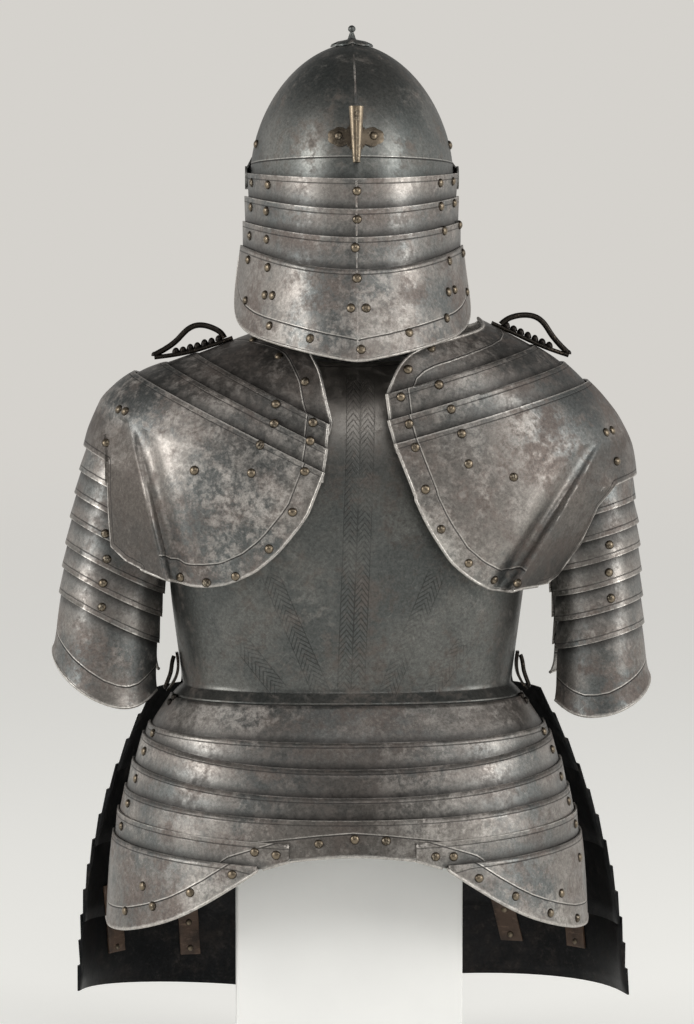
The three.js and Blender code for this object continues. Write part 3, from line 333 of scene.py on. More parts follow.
def leatherFinish(name, look):
    material, tree, shader = newFinish(name)
    at = place(tree)
    patches = noise(tree, at, 40, 6, 0.6)
    grain = node(tree, "ShaderNodeTexVoronoi", {}, {"Vector": at, "Scale": 900.0})
    creases = noise(tree, at, 90, 4, 0.6, (1, 1, 4))
    colour = blendColours(tree, patches.step(0.42, 0.66), look["base"], look["dark"])
    colour = blendColours(tree, creases.step(0.56, 0.7) * 0.7, colour, look["worn"])
    roughness = 0.62 + (patches - 0.5) * 0.3
    connect(tree, shader, colour, roughness.clamped(), grain * 0.4 + creases, 0.5, 0.0008)
    return material


paintLook = {"base": (0.83, 0.835, 0.825, 1), "cloudy": (0.78, 0.785, 0.78, 1)}


def paintFinish(name, look):
    material, tree, shader = newFinish(name)
    at = place(tree)
    roll = noise(tree, at, 260, 5, 0.6)
    cloud = noise(tree, at, 5, 4, 0.5)
    colour = blendColours(tree, cloud.step(0.35, 0.7), look["base"], look["cloudy"])
    roughness = 0.55 + (roll - 0.5) * 0.2
    connect(tree, shader, colour, roughness, roll, 0.15, 0.0004)
    return material


finishes = {name: steelFinish(name) for name in steelLooks}
finishes["brass"] = fittingFinish("tarnishedBrass", brassLook)
finishes["iron"] = fittingFinish("darkIron", ironLook)
finishes["leather"] = leatherFinish("oldLeather", leatherLook)
finishes["paint"] = paintFinish("whitePaint", paintLook)
print("finishes mixed")


def selectNothing():
    bpy.ops.object.select_all(action="DESELECT")


def onlySelect(piece):
    selectNothing()
    piece.select_set(True)
    bpy.context.view_layer.objects.active = piece


def applyPlace(piece):
    onlySelect(piece)
    bpy.ops.object.transform_apply(location=True, rotation=True, scale=True)


def editAll():
    bpy.ops.object.mode_set(mode="EDIT")
    bpy.ops.mesh.select_all(action="SELECT")


def leaveEdit():
    bpy.ops.object.mode_set(mode="OBJECT")


def faceOutwards():
    editAll()
    bpy.ops.mesh.normals_make_consistent(inside=False)
    leaveEdit()


def smoothUpTo(degrees):
    bpy.ops.object.shade_smooth_by_angle(angle=math.radians(degrees))


def shapeWith(piece, kind, **settings):
    modifier = piece.modifiers.new(kind.title(), kind)
    for name, value in settings.items():
        setattr(modifier, name, value)
    bpy.ops.object.modifier_apply(modifier=modifier.name)


# One value for each vertex, or a single one for all, which the finishes read by its name
def paint(piece, name, values):
    layer = piece.data.attributes.new(name, "FLOAT", "POINT")
    layer.data.foreach_set("value", np.full(len(piece.data.vertices), values, np.float32))


def join(first, *others):
    selectNothing()
    for piece in (first, *others):
        piece.select_set(True)
    bpy.context.view_layer.objects.active = first
    bpy.ops.object.join()
    return first


def settle(piece, finish, *nodes, body="armour"):
    applyPlace(piece)
    piece.data.materials.clear()
    piece.data.materials.append(finishes[finish])
    if nodes:
        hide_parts(*nodes)
    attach(piece, body)


# Pieces are named after their nodes: arm_lame_1_left becomes armLame1Left.
def nameOf(plate):
    special = {"helmet_skull": "skull", "plinth": "displayPlinth", "post": "innerPost"}
    first, *others = plate.split("_")
    return special.get(plate, first + "".join(word.title() for word in others))


# A copy of a node's mesh with its loose triangles joined, left in edit mode
def copyOf(plate):
    onlySelect(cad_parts[plate])
    bpy.ops.object.duplicate()
    piece = bpy.context.object
    piece.name = nameOf(plate)
    piece.parent = None
    for key in list(piece.keys()):
        del piece[key]
    editAll()
    bpy.ops.mesh.remove_doubles(threshold=0.00002)
    return piece


rungLength = (0.0015, 0.0027)  # edges across the rim of a wall of 2 mm


# The short edges across a wall's rim, joined in order: their middles run round the plate.
def rimOf(mesh):
    bm = bmesh.new()
    bm.from_mesh(mesh)
    rungs = [e for e in bm.edges if rungLength[0] < e.calc_length() < rungLength[1]]
    mids = {e: (e.verts[0].co + e.verts[1].co) / 2 for e in rungs}
    path, left, at = [], set(rungs), rungs[0] if rungs else None
    while at:
        left.discard(at)
        path.append(mids[at])
        beside = {e for face in at.link_faces for e in face.edges} & left
        near = beside or {e for e in left if (mids[e] - mids[at]).length < 0.06}
        at = min(near, key=lambda e: ((mids[e] - mids[at]).length, e.index)) if near else None
    bm.free()
    return path


# The rim cut at its corners, as open runs
def runsOf(path, corner=50):
    count = len(path)
    turns = []
    for i in range(count):
        before, after = path[i] - path[i - 1], path[(i + 1) % count] - path[i]
        if before.length > 1e-6 and after.length > 1e-6 and math.degrees(before.angle(after)) > corner:
            turns.append(i)
    if not turns:
        return [path + path[:1]]
    runs = []
    for a, b in zip(turns, turns[1:] + [turns[0] + count]):
        runs.append([path[k % count] for k in range(a, b + 1)])
    return runs


def dense(points, step=0.0008):
    out = []
    for a, b in zip(points, points[1:]):
        count = max(1, int((b - a).length / step))
        out += [a.lerp(b, k / count) for k in range(count)]
    return out + points[-1:]


# An open path carried on straight at both ends, so that an engraved line beside it runs out over the edge
def carriedOn(path, far=0.03):
    if (path[0] - path[-1]).length < 1e-5:
        return path
    before = path[0] + (path[0] - path[1]).normalized() * far
    after = path[-1] + (path[-1] - path[-2]).normalized() * far
    return [before, *path, after]


# Distance of every vertex from the nearest of these paths, in metres, and 1 where there are none
def distances(piece, paths):
    points = [p for path in paths for p in dense(path)]
    if not points:
        return [1.0] * len(piece.data.vertices)
    tree = KDTree(len(points))
    for i, p in enumerate(points):
        tree.insert(p, i)
    tree.balance()
    return [tree.find(v.co)[2] for v in piece.data.vertices]


# A node's mesh rounded by subdivision with its edges kept crisp, and the path along its rim
def plateFrom(plate, levels):
    piece = copyOf(plate)
    bpy.ops.mesh.tris_convert_to_quads(face_threshold=0.9, shape_threshold=0.9)
    bpy.ops.mesh.select_mode(type="EDGE")
    bpy.ops.mesh.select_all(action="DESELECT")
    bpy.ops.mesh.edges_select_sharp(sharpness=math.radians(50))
    bpy.ops.transform.edge_crease(value=1)
    leaveEdit()
    loop = rimOf(piece.data)
    shapeWith(piece, "SUBSURF", levels=levels, render_levels=levels)
    smoothUpTo(42)
    return piece, loop


def sweep(name, path, radius):
    selectNothing()
    bpy.ops.curve.primitive_nurbs_path_add()
    cord = bpy.context.object
    cord.name = name
    curve = cord.data
    curve.splines.clear()
    line = curve.splines.new("NURBS")
    line.points.add(len(path) - 1)
    for point, co in zip(line.points, path):
        point.co = (*co, 1)
    line.order_u = min(4, len(path))
    line.use_endpoint_u = True
    line.resolution_u = 4
    curve.dimensions = "3D"
    curve.bevel_depth = radius
    curve.bevel_resolution = 3
    curve.use_fill_caps = True
    bpy.ops.object.convert(target="MESH")
    smoothUpTo(60)
    return bpy.context.object


rimRadius = 0.0017


# Round turned rims along these paths, joined to the plate. A border of 0 gives each rim the worn colour, which
# stands for worn metal and a painted highlight.
def withRims(piece, paths):
    tubes = [sweep(piece.name + "Rim", path, rimRadius) for path in paths]
    for tube in tubes:
        paint(tube, "lip", 1.0)
        paint(tube, "border", 0.0)
    return join(piece, *tubes) if tubes else piece


def middle(points):
    return sum(points, Vector()) / len(points)


def longest(runs):
    return sorted(runs, key=lambda r: -sum((b - a).length for a, b in zip(r, r[1:])))[:2]


def upperRun(runs):
    return max(longest(runs), key=lambda r: middle(r).z)


def lowerRun(runs):
    return min(longest(runs), key=lambda r: middle(r).z)


# The parts of a closed path where "keep" holds
def parts(path, keep):
    if all(keep(p) for p in path):
        return [path + path[:1]]
    first = next(i for i, p in enumerate(path) if not keep(p))
    turned = path[first:] + path[:first]
    runs, now = [], []
    for p in turned:
        if keep(p):
            now.append(p)
        elif now:
            runs.append(now)
            now = []
    if now:
        runs.append(now)
    return [r for r in runs if len(r) > 1]


shoulderPoint = (223, 769)  # x and z of the point of the shoulder, in millimetres
# A shoulder's stack leans by "tilt" degrees, and its first plate begins "top" millimetres down.
shoulders = {
    "left": {"sign": 1, "tilt": 26.5, "top": 3},
    "right": {"sign": -1, "tilt": 15.5, "top": 20.5},
}
# Lower edge of the culet: angle round the waist from the spine in degrees, height in millimetres
archTable = {
    "angle": [0, 13, 20, 29.5, 44, 58, 68, 84, 94],
    "z": [283, 276.5, 266, 241, 213, 199, 193, 190, 203],
}


# Out and down along a shoulder's stack, in millimetres
def localOf(p, side):
    s = shoulders[side]
    tilt = math.radians(s["tilt"])
    x, z = s["sign"] * p.x - shoulderPoint[0] * mm, p.z - shoulderPoint[1] * mm
    out = x * math.cos(tilt) + z * math.sin(tilt)
    down = x * math.sin(tilt) - z * math.cos(tilt)
    return out / mm, down / mm


# These choose the runs of a rim that show as a plain lip or carry a turned rim.
def wholeLoop(loop, runs):
    return [loop + loop[:1]]


def topLip(loop, runs):
    return [upperRun(runs)]


def bottomLip(loop, runs):
    return [lowerRun(runs)]


def allButTop(loop, runs):
    top = {round(p.x, 5): p for p in upperRun(runs)}

    def below(p):
        near = top.get(round(p.x, 5))
        return near is None or (near - p).length >= 1e-4

    return parts(loop, below)


def freeEnds(loop, runs):
    top, low = upperRun(runs), lowerRun(runs)
    return [r for r in runs if r is not top and r is not low and len(r) > 1]


def alongArch(loop, runs):
    def onArch(p):
        angle = math.degrees(math.atan2(abs(p.x / 0.252) ** 1.15, abs(p.y / 0.178) ** 1.15))
        return p.z * 1000 < np.interp(angle, archTable["angle"], archTable["z"]) + 3.5

    return parts(loop, onArch)


def roundTop(loop, runs):
    side = "left" if loop[0].x > 0 else "right"

    def free(p):
        out, down = localOf(p, side)
        return down < shoulders[side]["top"] - 47 or out < -190

    return parts(loop, free)


# Share of painted shade on whole plates, which darkens them as shade would
paintedShadeShares = {
    "pauldron_top_left": 0.85, "pauldron_lame_1_left": 0.7, "pauldron_lame_2_left": 0.5,
    "pauldron_top_right": 0.65, "pauldron_lame_1_right": 0.45, "pauldron_lame_2_right": 0.35,
    "culet_waist": 0.4, "backplate": 0.3,
}
plates = {}
lipOf = {}


# Painted shade: the culet is darker down its middle, and every other plate carries the same share all over.
def paintedShadeAt(plate, p):
    if plate.startswith("culet_lame"):
        return 0.85 * math.exp(-(((p.x + 0.005) / 0.08) ** 2))
    return paintedShadeShares.get(plate, 0.0)


def dress(plate, finish, levels, lip=None, rim=None, body="armour"):
    piece, loop = plateFrom(plate, levels)
    runs = runsOf(loop)
    lips = lip(loop, runs) if lip else []
    rims = rim(loop, runs) if rim else []
    paint(piece, "lip", distances(piece, lips))
    paint(piece, "border", distances(piece, [carriedOn(path) for path in rims]))
    paint(piece, "soot", [paintedShadeAt(plate, v.co) for v in piece.data.vertices])
    piece = withRims(piece, rims)
    settle(piece, finish, plate, body=body)
    plates[plate] = piece
    lipOf[plate] = lips


# Main plates of the pauldrons: "out" runs sideways, "back" to the rear and "down" along the stack, in
# millimetres. The columns give each plate's reach at its upper edge, level with the top of its pleat and at
# its hem. Each side also gives the strength of the painted shade on its facet.
wings = {
    "left": {
        "centre": -213, "start": 0, "soot": 1.0,
        "fold": {"down": 44, "out": -16, "run": -0.84, "width": 18},
        "down": [-23, 0, 22, 44, 70, 93, 176], "out": [-24, 0, 12, 18, 17, 13, -10],
        "back": [148, 151, 153, 154, 154, 153, 142],
        "top": [-217, -201, -182, -159, -134, -108, -82, -64, -44, -34, -26, -19, -14, -9, -5, -1.5],
        "apex": [-221, -205, -182, -156, -124, -86, -52, -34, -16, -8, -2, 3, 7, 10, 13, 16],
        "hemOut": [-219, -211, -199, -180, -161, -149, -142, -133, -124, -100, -78, -58, -42, -28, -16, 4],
        "hemDown": [60, 96, 122, 146, 158, 164, 166, 168, 170, 174, 175, 170, 143, 117, 93, 93],
    },
    "right": {
        "centre": -186, "start": 17.5, "soot": 0.75,
        "fold": {"down": 75, "out": 21, "run": -1.13, "width": 18},
        "down": [-13, 12, 39, 68, 96, 133, 209], "out": [2.7, 22.5, 37.8, 48.6, 53, 48.5, 33],
        "back": [145, 148, 151, 153, 154, 153, 142],
        "top": [-191, -176, -158, -136, -110, -84, -56, -38, -20, -10, -4, 2, 7, 12, 16, 20],
        "apex": [-185, -171, -152, -126, -92, -52, -15, 3, 21, 28, 33, 37, 40, 43, 45, 47],
        "hemOut": [-186, -180, -168, -152, -136, -125, -119, -112, -104, -90, -76, -62, -30, -4, 20, 40],
        "hemDown": [78, 112, 149, 173, 188, 193, 195, 196, 197, 201, 204, 200, 174, 142, 126, 126],
    },
}
pleat = {"valley": 13, "valleyWidth": 15, "ridge": 5, "edge": 74, "fade": 22}
opening = {"lowest": 8, "rear": 11, "front": 14}  # columns at the pleat's foot and at the arm's opening
mainLook = {"columns": 288, "rows": 60, "thick": 0.002, "deeper": 1.12, "first": 17, "rimColumns": 9.2}


# A smooth curve through the points (xs, ys) that never overshoots them
def track(xs, ys, at):
    steps = [(b - a) / (d - c) for a, b, c, d in zip(ys, ys[1:], xs, xs[1:])]
    between = [0 if p * q <= 0 else 2 * p * q / (p + q) for p, q in zip(steps, steps[1:])]
    slopes = [steps[0], *between, steps[-1]]
    if at <= xs[0]:
        return ys[0] + slopes[0] * (at - xs[0])
    if at >= xs[-1]:
        return ys[-1] + slopes[-1] * (at - xs[-1])
    i = max(k for k, x in enumerate(xs) if at >= x)
    h = xs[i + 1] - xs[i]
    t = (at - xs[i]) / h
    r = 1 - t
    ends = ys[i] * r * r * (1 + 2 * t) + ys[i + 1] * t * t * (3 - 2 * t)
    return ends + h * (slopes[i] * t * r * r - slopes[i + 1] * t * t * r)


def clamped(value, low=0.0, high=1.0):
    return min(high, max(low, value))


def mix(a, b, share):
    return a + (b - a) * share


# How far out the ridge of the pleat lies
def ridgeAt(w, down):
    return w["fold"]["out"] + w["fold"]["run"] * (down - w["fold"]["down"])


# A pleat runs from the point of the shoulder to the armpit: a valley, a ridge and a flat facet to the arm.
def foldAt(w, out, down, deep, long):
    fold, hemOut, hemDown = w["fold"], w["hemOut"], w["hemDown"]
    grown = clamped((down - fold["down"]) / (hemDown[opening["lowest"]] - fold["down"]))
    if grown <= 0:
        return 0

    def plain(at):
        return deep * math.sqrt(max(0, 1 - ((at - w["centre"]) / long) ** 2))

    ridge = ridgeAt(w, down)
    past = out - ridge
    if past <= 0:
        dip = math.exp(-(((past + fold["width"]) / pleat["valleyWidth"]) ** 2)) * clamped(-past / 8)
        return grown * pleat["ridge"] * clamped(1 + past / 9) - math.sqrt(grown) * pleat["valley"] * dip
    rear, front = opening["rear"], opening["front"]
    share = clamped((down - hemDown[front]) / (hemDown[rear] - hemDown[front]))
    edge = mix(hemOut[front], hemOut[rear], share)
    high = plain(ridge) + grown * pleat["ridge"]
    low = min(plain(edge), pleat["edge"])
    if out > edge:
        fade = clamped((out - edge) / pleat["fade"])
        return (low - plain(edge)) * (1 - fade * fade * (3 - 2 * fade))
    return mix(high, low, clamped(past / max(1, edge - ridge))) - plain(out)


# column runs from 0 at the spine over 16 at the point of the shoulder to 32 at the breast,
# and t from 0 at the upper edge over 1 at the top of the pleat to 2 at the hem.
def mainPoint(side, column, t, inset=0.0):
    w = wings[side]
    front = column > 16
    c = 32 - column if front else column
    low = min(15, int(c))
    ends = []
    for k in (low, low + 1):
        last = k > 15
        hem = w["hemDown"][opening["front"]] if last else w["hemDown"][k]
        down = mix(w["start"], w["fold"]["down"], t) if t < 1 else mix(w["fold"]["down"], hem, t - 1)
        turn = 90
        if not last:
            top, apex, hemOut = w["top"][k], w["apex"][k], w["hemOut"][k]
            out = mix(top, apex, t) if t < 1 else mix(apex, hemOut, t - 1)
            long = track(w["down"], w["out"], down) - w["centre"]
            turn = math.degrees(math.asin(clamped((out - w["centre"]) / long, -1, 1)))
        ends.append((turn, down))
    turn, down = (mix(a, b, c - low) for a, b in zip(*ends))
    if front:
        turn = mix(mainLook["first"], 90, (turn + 9) / 99)
    long = track(w["down"], w["out"], down) - w["centre"] - inset
    deep = track(w["down"], w["back"], down) * (mainLook["deeper"] if front else 1) - inset
    out = w["centre"] + long * math.sin(math.radians(turn))
    back = deep * math.cos(math.radians(turn))
    back = -back if front else back + foldAt(w, out, down, deep, long)
    s = shoulders[side]
    tilt = math.radians(s["tilt"])
    x = shoulderPoint[0] + out * math.cos(tilt) + down * math.sin(tilt)
    z = shoulderPoint[1] + out * math.sin(tilt) - down * math.cos(tilt)
    return Vector((s["sign"] * x, back, z)) * mm


# Painted shade lies thick on the flat facet beyond the ridge of the pleat, and thin along the plate's upper edge.
def paintedFacetShade(side, p):
    w = wings[side]
    out, down = localOf(p, side)
    thin = 0.45 * clamped(1 - (down - w["start"]) / 40) * clamped(-(out + 40) / 60)
    if p.y < 0:
        return thin
    past = out - ridgeAt(w, down)
    return max(thin, w["soot"] * clamped(past / 4 + 0.3) * clamped((down - w["fold"]["down"]) / 12))


# The engraved line stops at the ridge of the pleat.
def borderOf(side, p, distance):
    out, down = localOf(p, side)
    return max(distance, 0.05) if out > ridgeAt(wings[side], down) + 1 else distance


def mainPlate(side):
    look = mainLook
    plate = f"pauldron_main_{side}"
    selectNothing()
    bpy.ops.mesh.primitive_grid_add(x_subdivisions=look["columns"], y_subdivisions=look["rows"], size=1)
    piece = bpy.context.object
    piece.name = nameOf(plate)
    for v in piece.data.vertices:
        row, column = divmod(v.index, look["columns"] + 1)
        v.co = mainPoint(side, 32 * column / look["columns"], 2 * row / look["rows"])
    piece.data.update()
    if sum(p.normal.x * p.center.x for p in piece.data.polygons) < 0:
        piece.data.flip_normals()
    shapeWith(piece, "SOLIDIFY", thickness=look["thick"], offset=-1)
    smoothUpTo(24)
    rims = []
    for first, way in ((0, 1), (32, -1)):
        path = [mainPoint(side, first, t, 1) for t in (0, 0.25, 0.5, 0.75, 1, 1.25, 1.5, 1.75)]
        path += [mainPoint(side, first + way * c, 2, 1) for c in np.linspace(0, look["rimColumns"], 24)]
        rims.append(path)
    top = [mainPoint(side, c, 0) for c in np.linspace(0, 32, 97)]
    hem = [mainPoint(side, c, 2) for c in np.linspace(look["rimColumns"], 32 - look["rimColumns"], 97)]
    vertices = piece.data.vertices
    paint(piece, "lip", distances(piece, [top, hem]))
    paint(piece, "border", [borderOf(side, v.co, d) for v, d in zip(vertices, distances(piece, rims))])
    paint(piece, "soot", [paintedFacetShade(side, v.co) for v in vertices])
    piece = withRims(piece, rims)
    settle(piece, "brightSteel", plate)
    plates[plate] = piece
    lipOf[plate] = [top]


for number in (1, 2, 3, 4):
    dress(f"neck_lame_{number}", "brightSteel", 3, topLip, allButTop if number == 4 else None)
dress("helmet_skull", "darkSteel", 3)
dress("bevor", "darkSteel", 2, wholeLoop)
dress("visor", "darkSteel", 2, wholeLoop, body="visor")
dress("collar", "darkSteel", 2)
dress("backplate", "darkSteel", 3, wholeLoop)
dress("breastplate", "darkSteel", 3, wholeLoop)
dress("culet_waist", "brightSteel", 2)
for number in (1, 2, 3, 4):
    dress(f"culet_lame_{number}", "brightSteel", 2, topLip, alongArch if number == 4 else None)
for side in sides:
    for number in (5, 6):
        dress(f"culet_lame_{number}_{side}", "brightSteel", 2, topLip, alongArch)
print("helmet, cuirass and culet dressed")

for side in sides:
    dress(f"pauldron_top_{side}", "brightSteel", 3, None, roundTop)
    for number in (1, 2):
        dress(f"pauldron_lame_{number}_{side}", "brightSteel", 3, topLip, freeEnds)
    mainPlate(side)
    for number in range(1, 7):
        dress(f"arm_lame_{number}_{side}", "brightSteel", 2, bottomLip)
    dress(f"arm_cuff_{side}", "brightSteel", 2, None, bottomLip)
    for number in range(1, 5):
        dress(f"tasset_{side}_{number}", "blackenedSteel", 1)

# Plates in the order in which each is covered by the next
stacks = [
    ["helmet_skull", "neck_lame_1", "neck_lame_2", "neck_lame_3", "neck_lame_4"],
    ["culet_waist", "culet_lame_1", "culet_lame_2", "culet_lame_3", "culet_lame_4"],
]
for side in sides:
    stacks.append([f"culet_lame_5_{side}", f"culet_lame_6_{side}"])
    stacks.append([f"pauldron_{name}_{side}" for name in ("top", "lame_1", "lame_2", "main")])
    stacks.append([f"arm_cuff_{side}", *(f"arm_lame_{number}_{side}" for number in (6, 5, 4, 3, 2, 1))])

# Painted shade and dirt lie below the lip of the plate that covers another: their share falls from 1 at that lip
# to 0 at 20 mm.
for stack in stacks:
    for covered, covering in zip(stack, stack[1:]):
        piece = plates[covered]
        paint(piece, "laid", [max(0.0, 1 - d / 0.02) for d in distances(piece, lipOf[covering])])
for cuirass in ("backplate", "breastplate"):
    paint(plates[cuirass], "engraved", 1.0)
print("shoulders, arms and tassets dressed")

# The keel is a low bulge down the middle of the skull, with a narrow ridge along it. The engraved line round
# the skull rises to the rear.
helmetMiddle = -0.005
keel = {"width": 0.0032, "span": 0.02, "lift": 0.0013, "centre": 0.97, "ridge": 0.00105, "sunk": 0.0003}
skullLine = {"height": 0.9838, "tilt": 0.062}


def raiseKeel(piece):
    for v in piece.data.vertices:
        across = v.co.x - helmetMiddle
        if abs(across) < keel["span"]:
            bulge = keel["lift"] * math.exp(-((across / keel["width"]) ** 2))
            away = Vector((0, v.co.y, max(0, v.co.z - keel["centre"])))
            if away.length > 0.05:
                v.co += away.normalized() * bulge


def lineRoundSkull(piece):
    nearest = 0.006  # keeps the skull's lower edge clear of the bright rim
    values = []
    for v in piece.data.vertices:
        above = v.co.z - skullLine["height"] - skullLine["tilt"] * v.co.y
        values.append(max(nearest, above + steelMarks["borderLine"]))
    piece.data.attributes["border"].data.foreach_set("value", np.array(values, np.float32))


raiseKeel(plates["helmet_skull"])
lineRoundSkull(plates["helmet_skull"])

# Places of the rivets over each plate, seen from the rear: x and z in millimetres
rivetPlaces = {
    "helmet_skull": [(94.5, 1005.0), (-105.8, 1003.9)],
    "neck_lame_1": [(100.0, 965.2), (84.0, 963.1), (-5.4, 957.1), (-93.1, 964.9), (-108.0, 966.4)],
    "neck_lame_2": [(100.8, 939.9), (85.5, 936.3), (-5.5, 928.6), (-93.7, 941.0), (-109.0, 944.0)],
    "neck_lame_3": [(102.1, 910.4), (85.6, 907.5), (-3.5, 900.0), (-97.3, 916.1), (-115.4, 921.2)],
    "neck_lame_4": [
        (103.9, 885.8), (84.5, 878.9), (-4.9, 869.3), (-102.6, 885.0), (-118.8, 892.2), (87.6, 850.9),
        (80.1, 850.7), (-100.7, 853.6), (-107.8, 855.5), (-122.9, 851.9), (1.5, 839.4), (-13.9, 839.3),
        (106.7, 844.2), (83.2, 820.0), (42.8, 808.6), (-8.3, 798.2), (-58.0, 814.1), (-98.4, 827.4),
    ],
    "pauldron_top_left": [(98.7, 802.8), (73.3, 788.1), (47.4, 763.3)],
    "pauldron_lame_1_left": [(77.1, 740.9), (39.6, 722.7)],
    "pauldron_lame_2_left": [(79.0, 721.7), (42.5, 704.2)],
    "pauldron_main_left": [
        (48.2, 673.6), (60.7, 632.3), (84.6, 594.8), (118.7, 566.3), (148.2, 559.5), (174.6, 563.1),
        (93.4, 700.2), (102.4, 671.8), (160.3, 673.6), (238.0, 732.1), (231.0, 730.5), (250.7, 697.6),
    ],
    "arm_lame_3_left": [(252.4, 602.8)],
    "arm_lame_4_left": [(251.0, 576.4)],
    "arm_lame_5_left": [(255.1, 551.4)],
    "arm_lame_6_left": [(256.3, 526.5)],
    "pauldron_top_right": [(-82.2, 797.3), (-57.6, 776.1)],
    "pauldron_lame_1_right": [(-50.0, 748.5), (-89.2, 760.5)],
    "pauldron_lame_2_right": [(-58.1, 721.1), (-101.4, 735.8)],
    "pauldron_main_right": [
        (-111.8, 711.1), (-64.2, 697.7), (-118.7, 680.5), (-165.3, 666.3), (-74.4, 655.1), (-90.4, 614.5),
        (-118.8, 579.3), (-145.7, 560.9), (-169.0, 558.0), (-266.1, 707.5), (-273.5, 708.9), (-277.5, 677.3),
    ],
    "arm_lame_3_right": [(-271.3, 589.4)],
    "arm_lame_4_right": [(-270.8, 560.8)],
    "arm_lame_5_right": [(-273.1, 533.7)],
    "culet_lame_6_left": [(233, 213), (204.3, 223.8), (165.8, 241.9), (123.0, 262.7), (214.6, 242.5)],
    "culet_lame_5_left": [(237, 296), (100.0, 285.8), (78.2, 283.4)],
    "culet_lame_4": [(230, 320), (-230, 320), (34.6, 294.7), (-2.0, 299.2), (-34.1, 297.4)],
    "culet_lame_5_right": [(-237, 296), (-84.7, 280.8), (-103.3, 280.0)],
    "culet_lame_6_right": [
        (-241, 262), (-129.5, 257.3), (-168.0, 236.1), (-205.9, 214.1), (-237.0, 201.6), (-218.6, 231.9),
    ],
    "culet_lame_1": [(204, 393), (-204, 393)],
    "culet_lame_2": [(213, 374), (-213, 374)],
    "culet_lame_3": [(222, 346), (-222, 346)],
}
rivetHead = {"radius": 0.005, "height": 0.0036, "sunk": 0.0005}


# Half a ball cut a little below its middle, with more grime and painted shade towards its foot
def domeMesh():
    selectNothing()
    bpy.ops.mesh.primitive_uv_sphere_add(segments=16, ring_count=10, radius=1, location=(0, 0, 0))
    dome = bpy.context.object
    editAll()
    bpy.ops.mesh.bisect(plane_co=(0, 0, -0.25), plane_no=(0, 0, 1), clear_inner=True, use_fill=True)
    leaveEdit()
    smoothUpTo(50)
    paint(dome, "grime", [1 - v.co.z for v in dome.data.vertices])
    mesh = dome.data.copy()
    bpy.data.objects.remove(dome)
    return mesh


domeShape = domeMesh()
trees = {}
for plate, piece in plates.items():
    faces = [tuple(face.vertices) for face in piece.data.polygons]
    trees[plate] = BVHTree.FromPolygons([v.co for v in piece.data.vertices], faces)


# Each head is a little different, as filed by hand.
def studAt(at, normal, radius=rivetHead["radius"], height=rivetHead["height"]):
    stud = bpy.data.objects.new("stud", domeShape.copy())
    scene.collection.objects.link(stud)
    stud.rotation_mode = "QUATERNION"
    stud.rotation_quaternion = normal.to_track_quat("Z", "Y")
    wide, deep = radius * rng.uniform(0.94, 1.05), radius * rng.uniform(0.94, 1.05)
    stud.scale = (wide, deep, height * rng.uniform(0.88, 1.1))
    stud.location = at - normal * rivetHead["sunk"]
    return stud


# Where a plate is met by a level line from the rear or the front, with the normal towards the viewer
def castOn(plate, x, z, front=False):
    way = -1 if front else 1
    hit, normal, _, _ = trees[plate].ray_cast(Vector((x, way, z)), Vector((0, -way, 0)))
    if hit and normal.y * way < 0:
        normal = -normal
    return hit, normal


def rivetGroup(plate):
    if "pauldron" in plate or "arm" in plate:
        return "rivetsShoulder" + plate.split("_")[-1].title()
    return "rivetsHelmet" if "neck" in plate or "skull" in plate else "rivetsCulet"


def setRivets():
    groups = {"rivetsHelmet": [], "rivetsShoulderLeft": [], "rivetsShoulderRight": [], "rivetsCulet": []}
    for plate, places in rivetPlaces.items():
        group = rivetGroup(plate)
        for x, z in places:
            for front in (False, True) if "Shoulder" in group else (False,):
                hit, normal = castOn(plate, x * mm, z * mm, front)
                if hit:
                    groups[group].append(studAt(hit, normal))
                elif not front:
                    print("no plate under rivet", plate, x, z)
    for name, studs in groups.items():
        piece = join(*studs)
        piece.name = name
        settle(piece, "brass")


setRivets()
print("rivets set")

# The keel's ridge on each plate, from its upper to its lower end, with a gap under the plume holder
keelRuns = [
    ("helmet_skull", 1.1075, 0.974), ("neck_lame_1", 0.9685, 0.9405), ("neck_lame_2", 0.938, 0.912),
    ("neck_lame_3", 0.9095, 0.8795), ("neck_lame_4", 0.877, 0.789),
]
plumeGap = (0.985, 1.043)


def keelRidge():
    ridges = []
    for plate, high, low in keelRuns:
        upper, lower = [], []
        for z in np.linspace(high, low, 16):
            hit, normal = castOn(plate, helmetMiddle, float(z))
            holder = plate == "helmet_skull" and plumeGap[0] < z < plumeGap[1]
            if hit and not holder:
                above = plate != "helmet_skull" or z > plumeGap[0]
                (upper if above else lower).append(hit - normal * keel["sunk"])
        ridges += [sweep("keel", cut, keel["ridge"]) for cut in (upper, lower) if len(cut) > 2]
    for ridge in ridges:
        paint(ridge, "lip", 0.01)
        paint(ridge, "border", 0.01)
    piece = join(*ridges)
    piece.name = "keelRidge"
    settle(piece, "brightSteel")


keelRidge()

# Leather straps inside the tassets: x and z of the lower and the upper end on the plates' inner faces
leathers = [
    {"tasset": "left", "x": (0.247, 0.252), "z": (0.126, 0.205), "width": 0.017},
    {"tasset": "left", "x": (0.166, 0.172), "z": (0.114, 0.215), "width": 0.022},
    {"tasset": "right", "x": (-0.190, -0.166), "z": (0.128, 0.225), "width": 0.024},
    {"tasset": "right", "x": (-0.258, -0.250), "z": (0.128, 0.215), "width": 0.018},
]
strapLook = {
    "rows": 14, "thick": 0.0024, "edge": 0.0006, "across": (-0.5, -0.17, 0.17, 0.5),
    "rivets": (1, 5, 9), "radius": 0.0038, "height": 0.002,
}


# The rearmost of the tasset's plates at this place
def tassetCast(side, x, z):
    best = None
    for number in range(1, 5):
        hit, normal = castOn(f"tasset_{side}_{number}", x, z)
        if hit and (best is None or hit.y > best[0].y):
            best = (hit, normal)
    return best


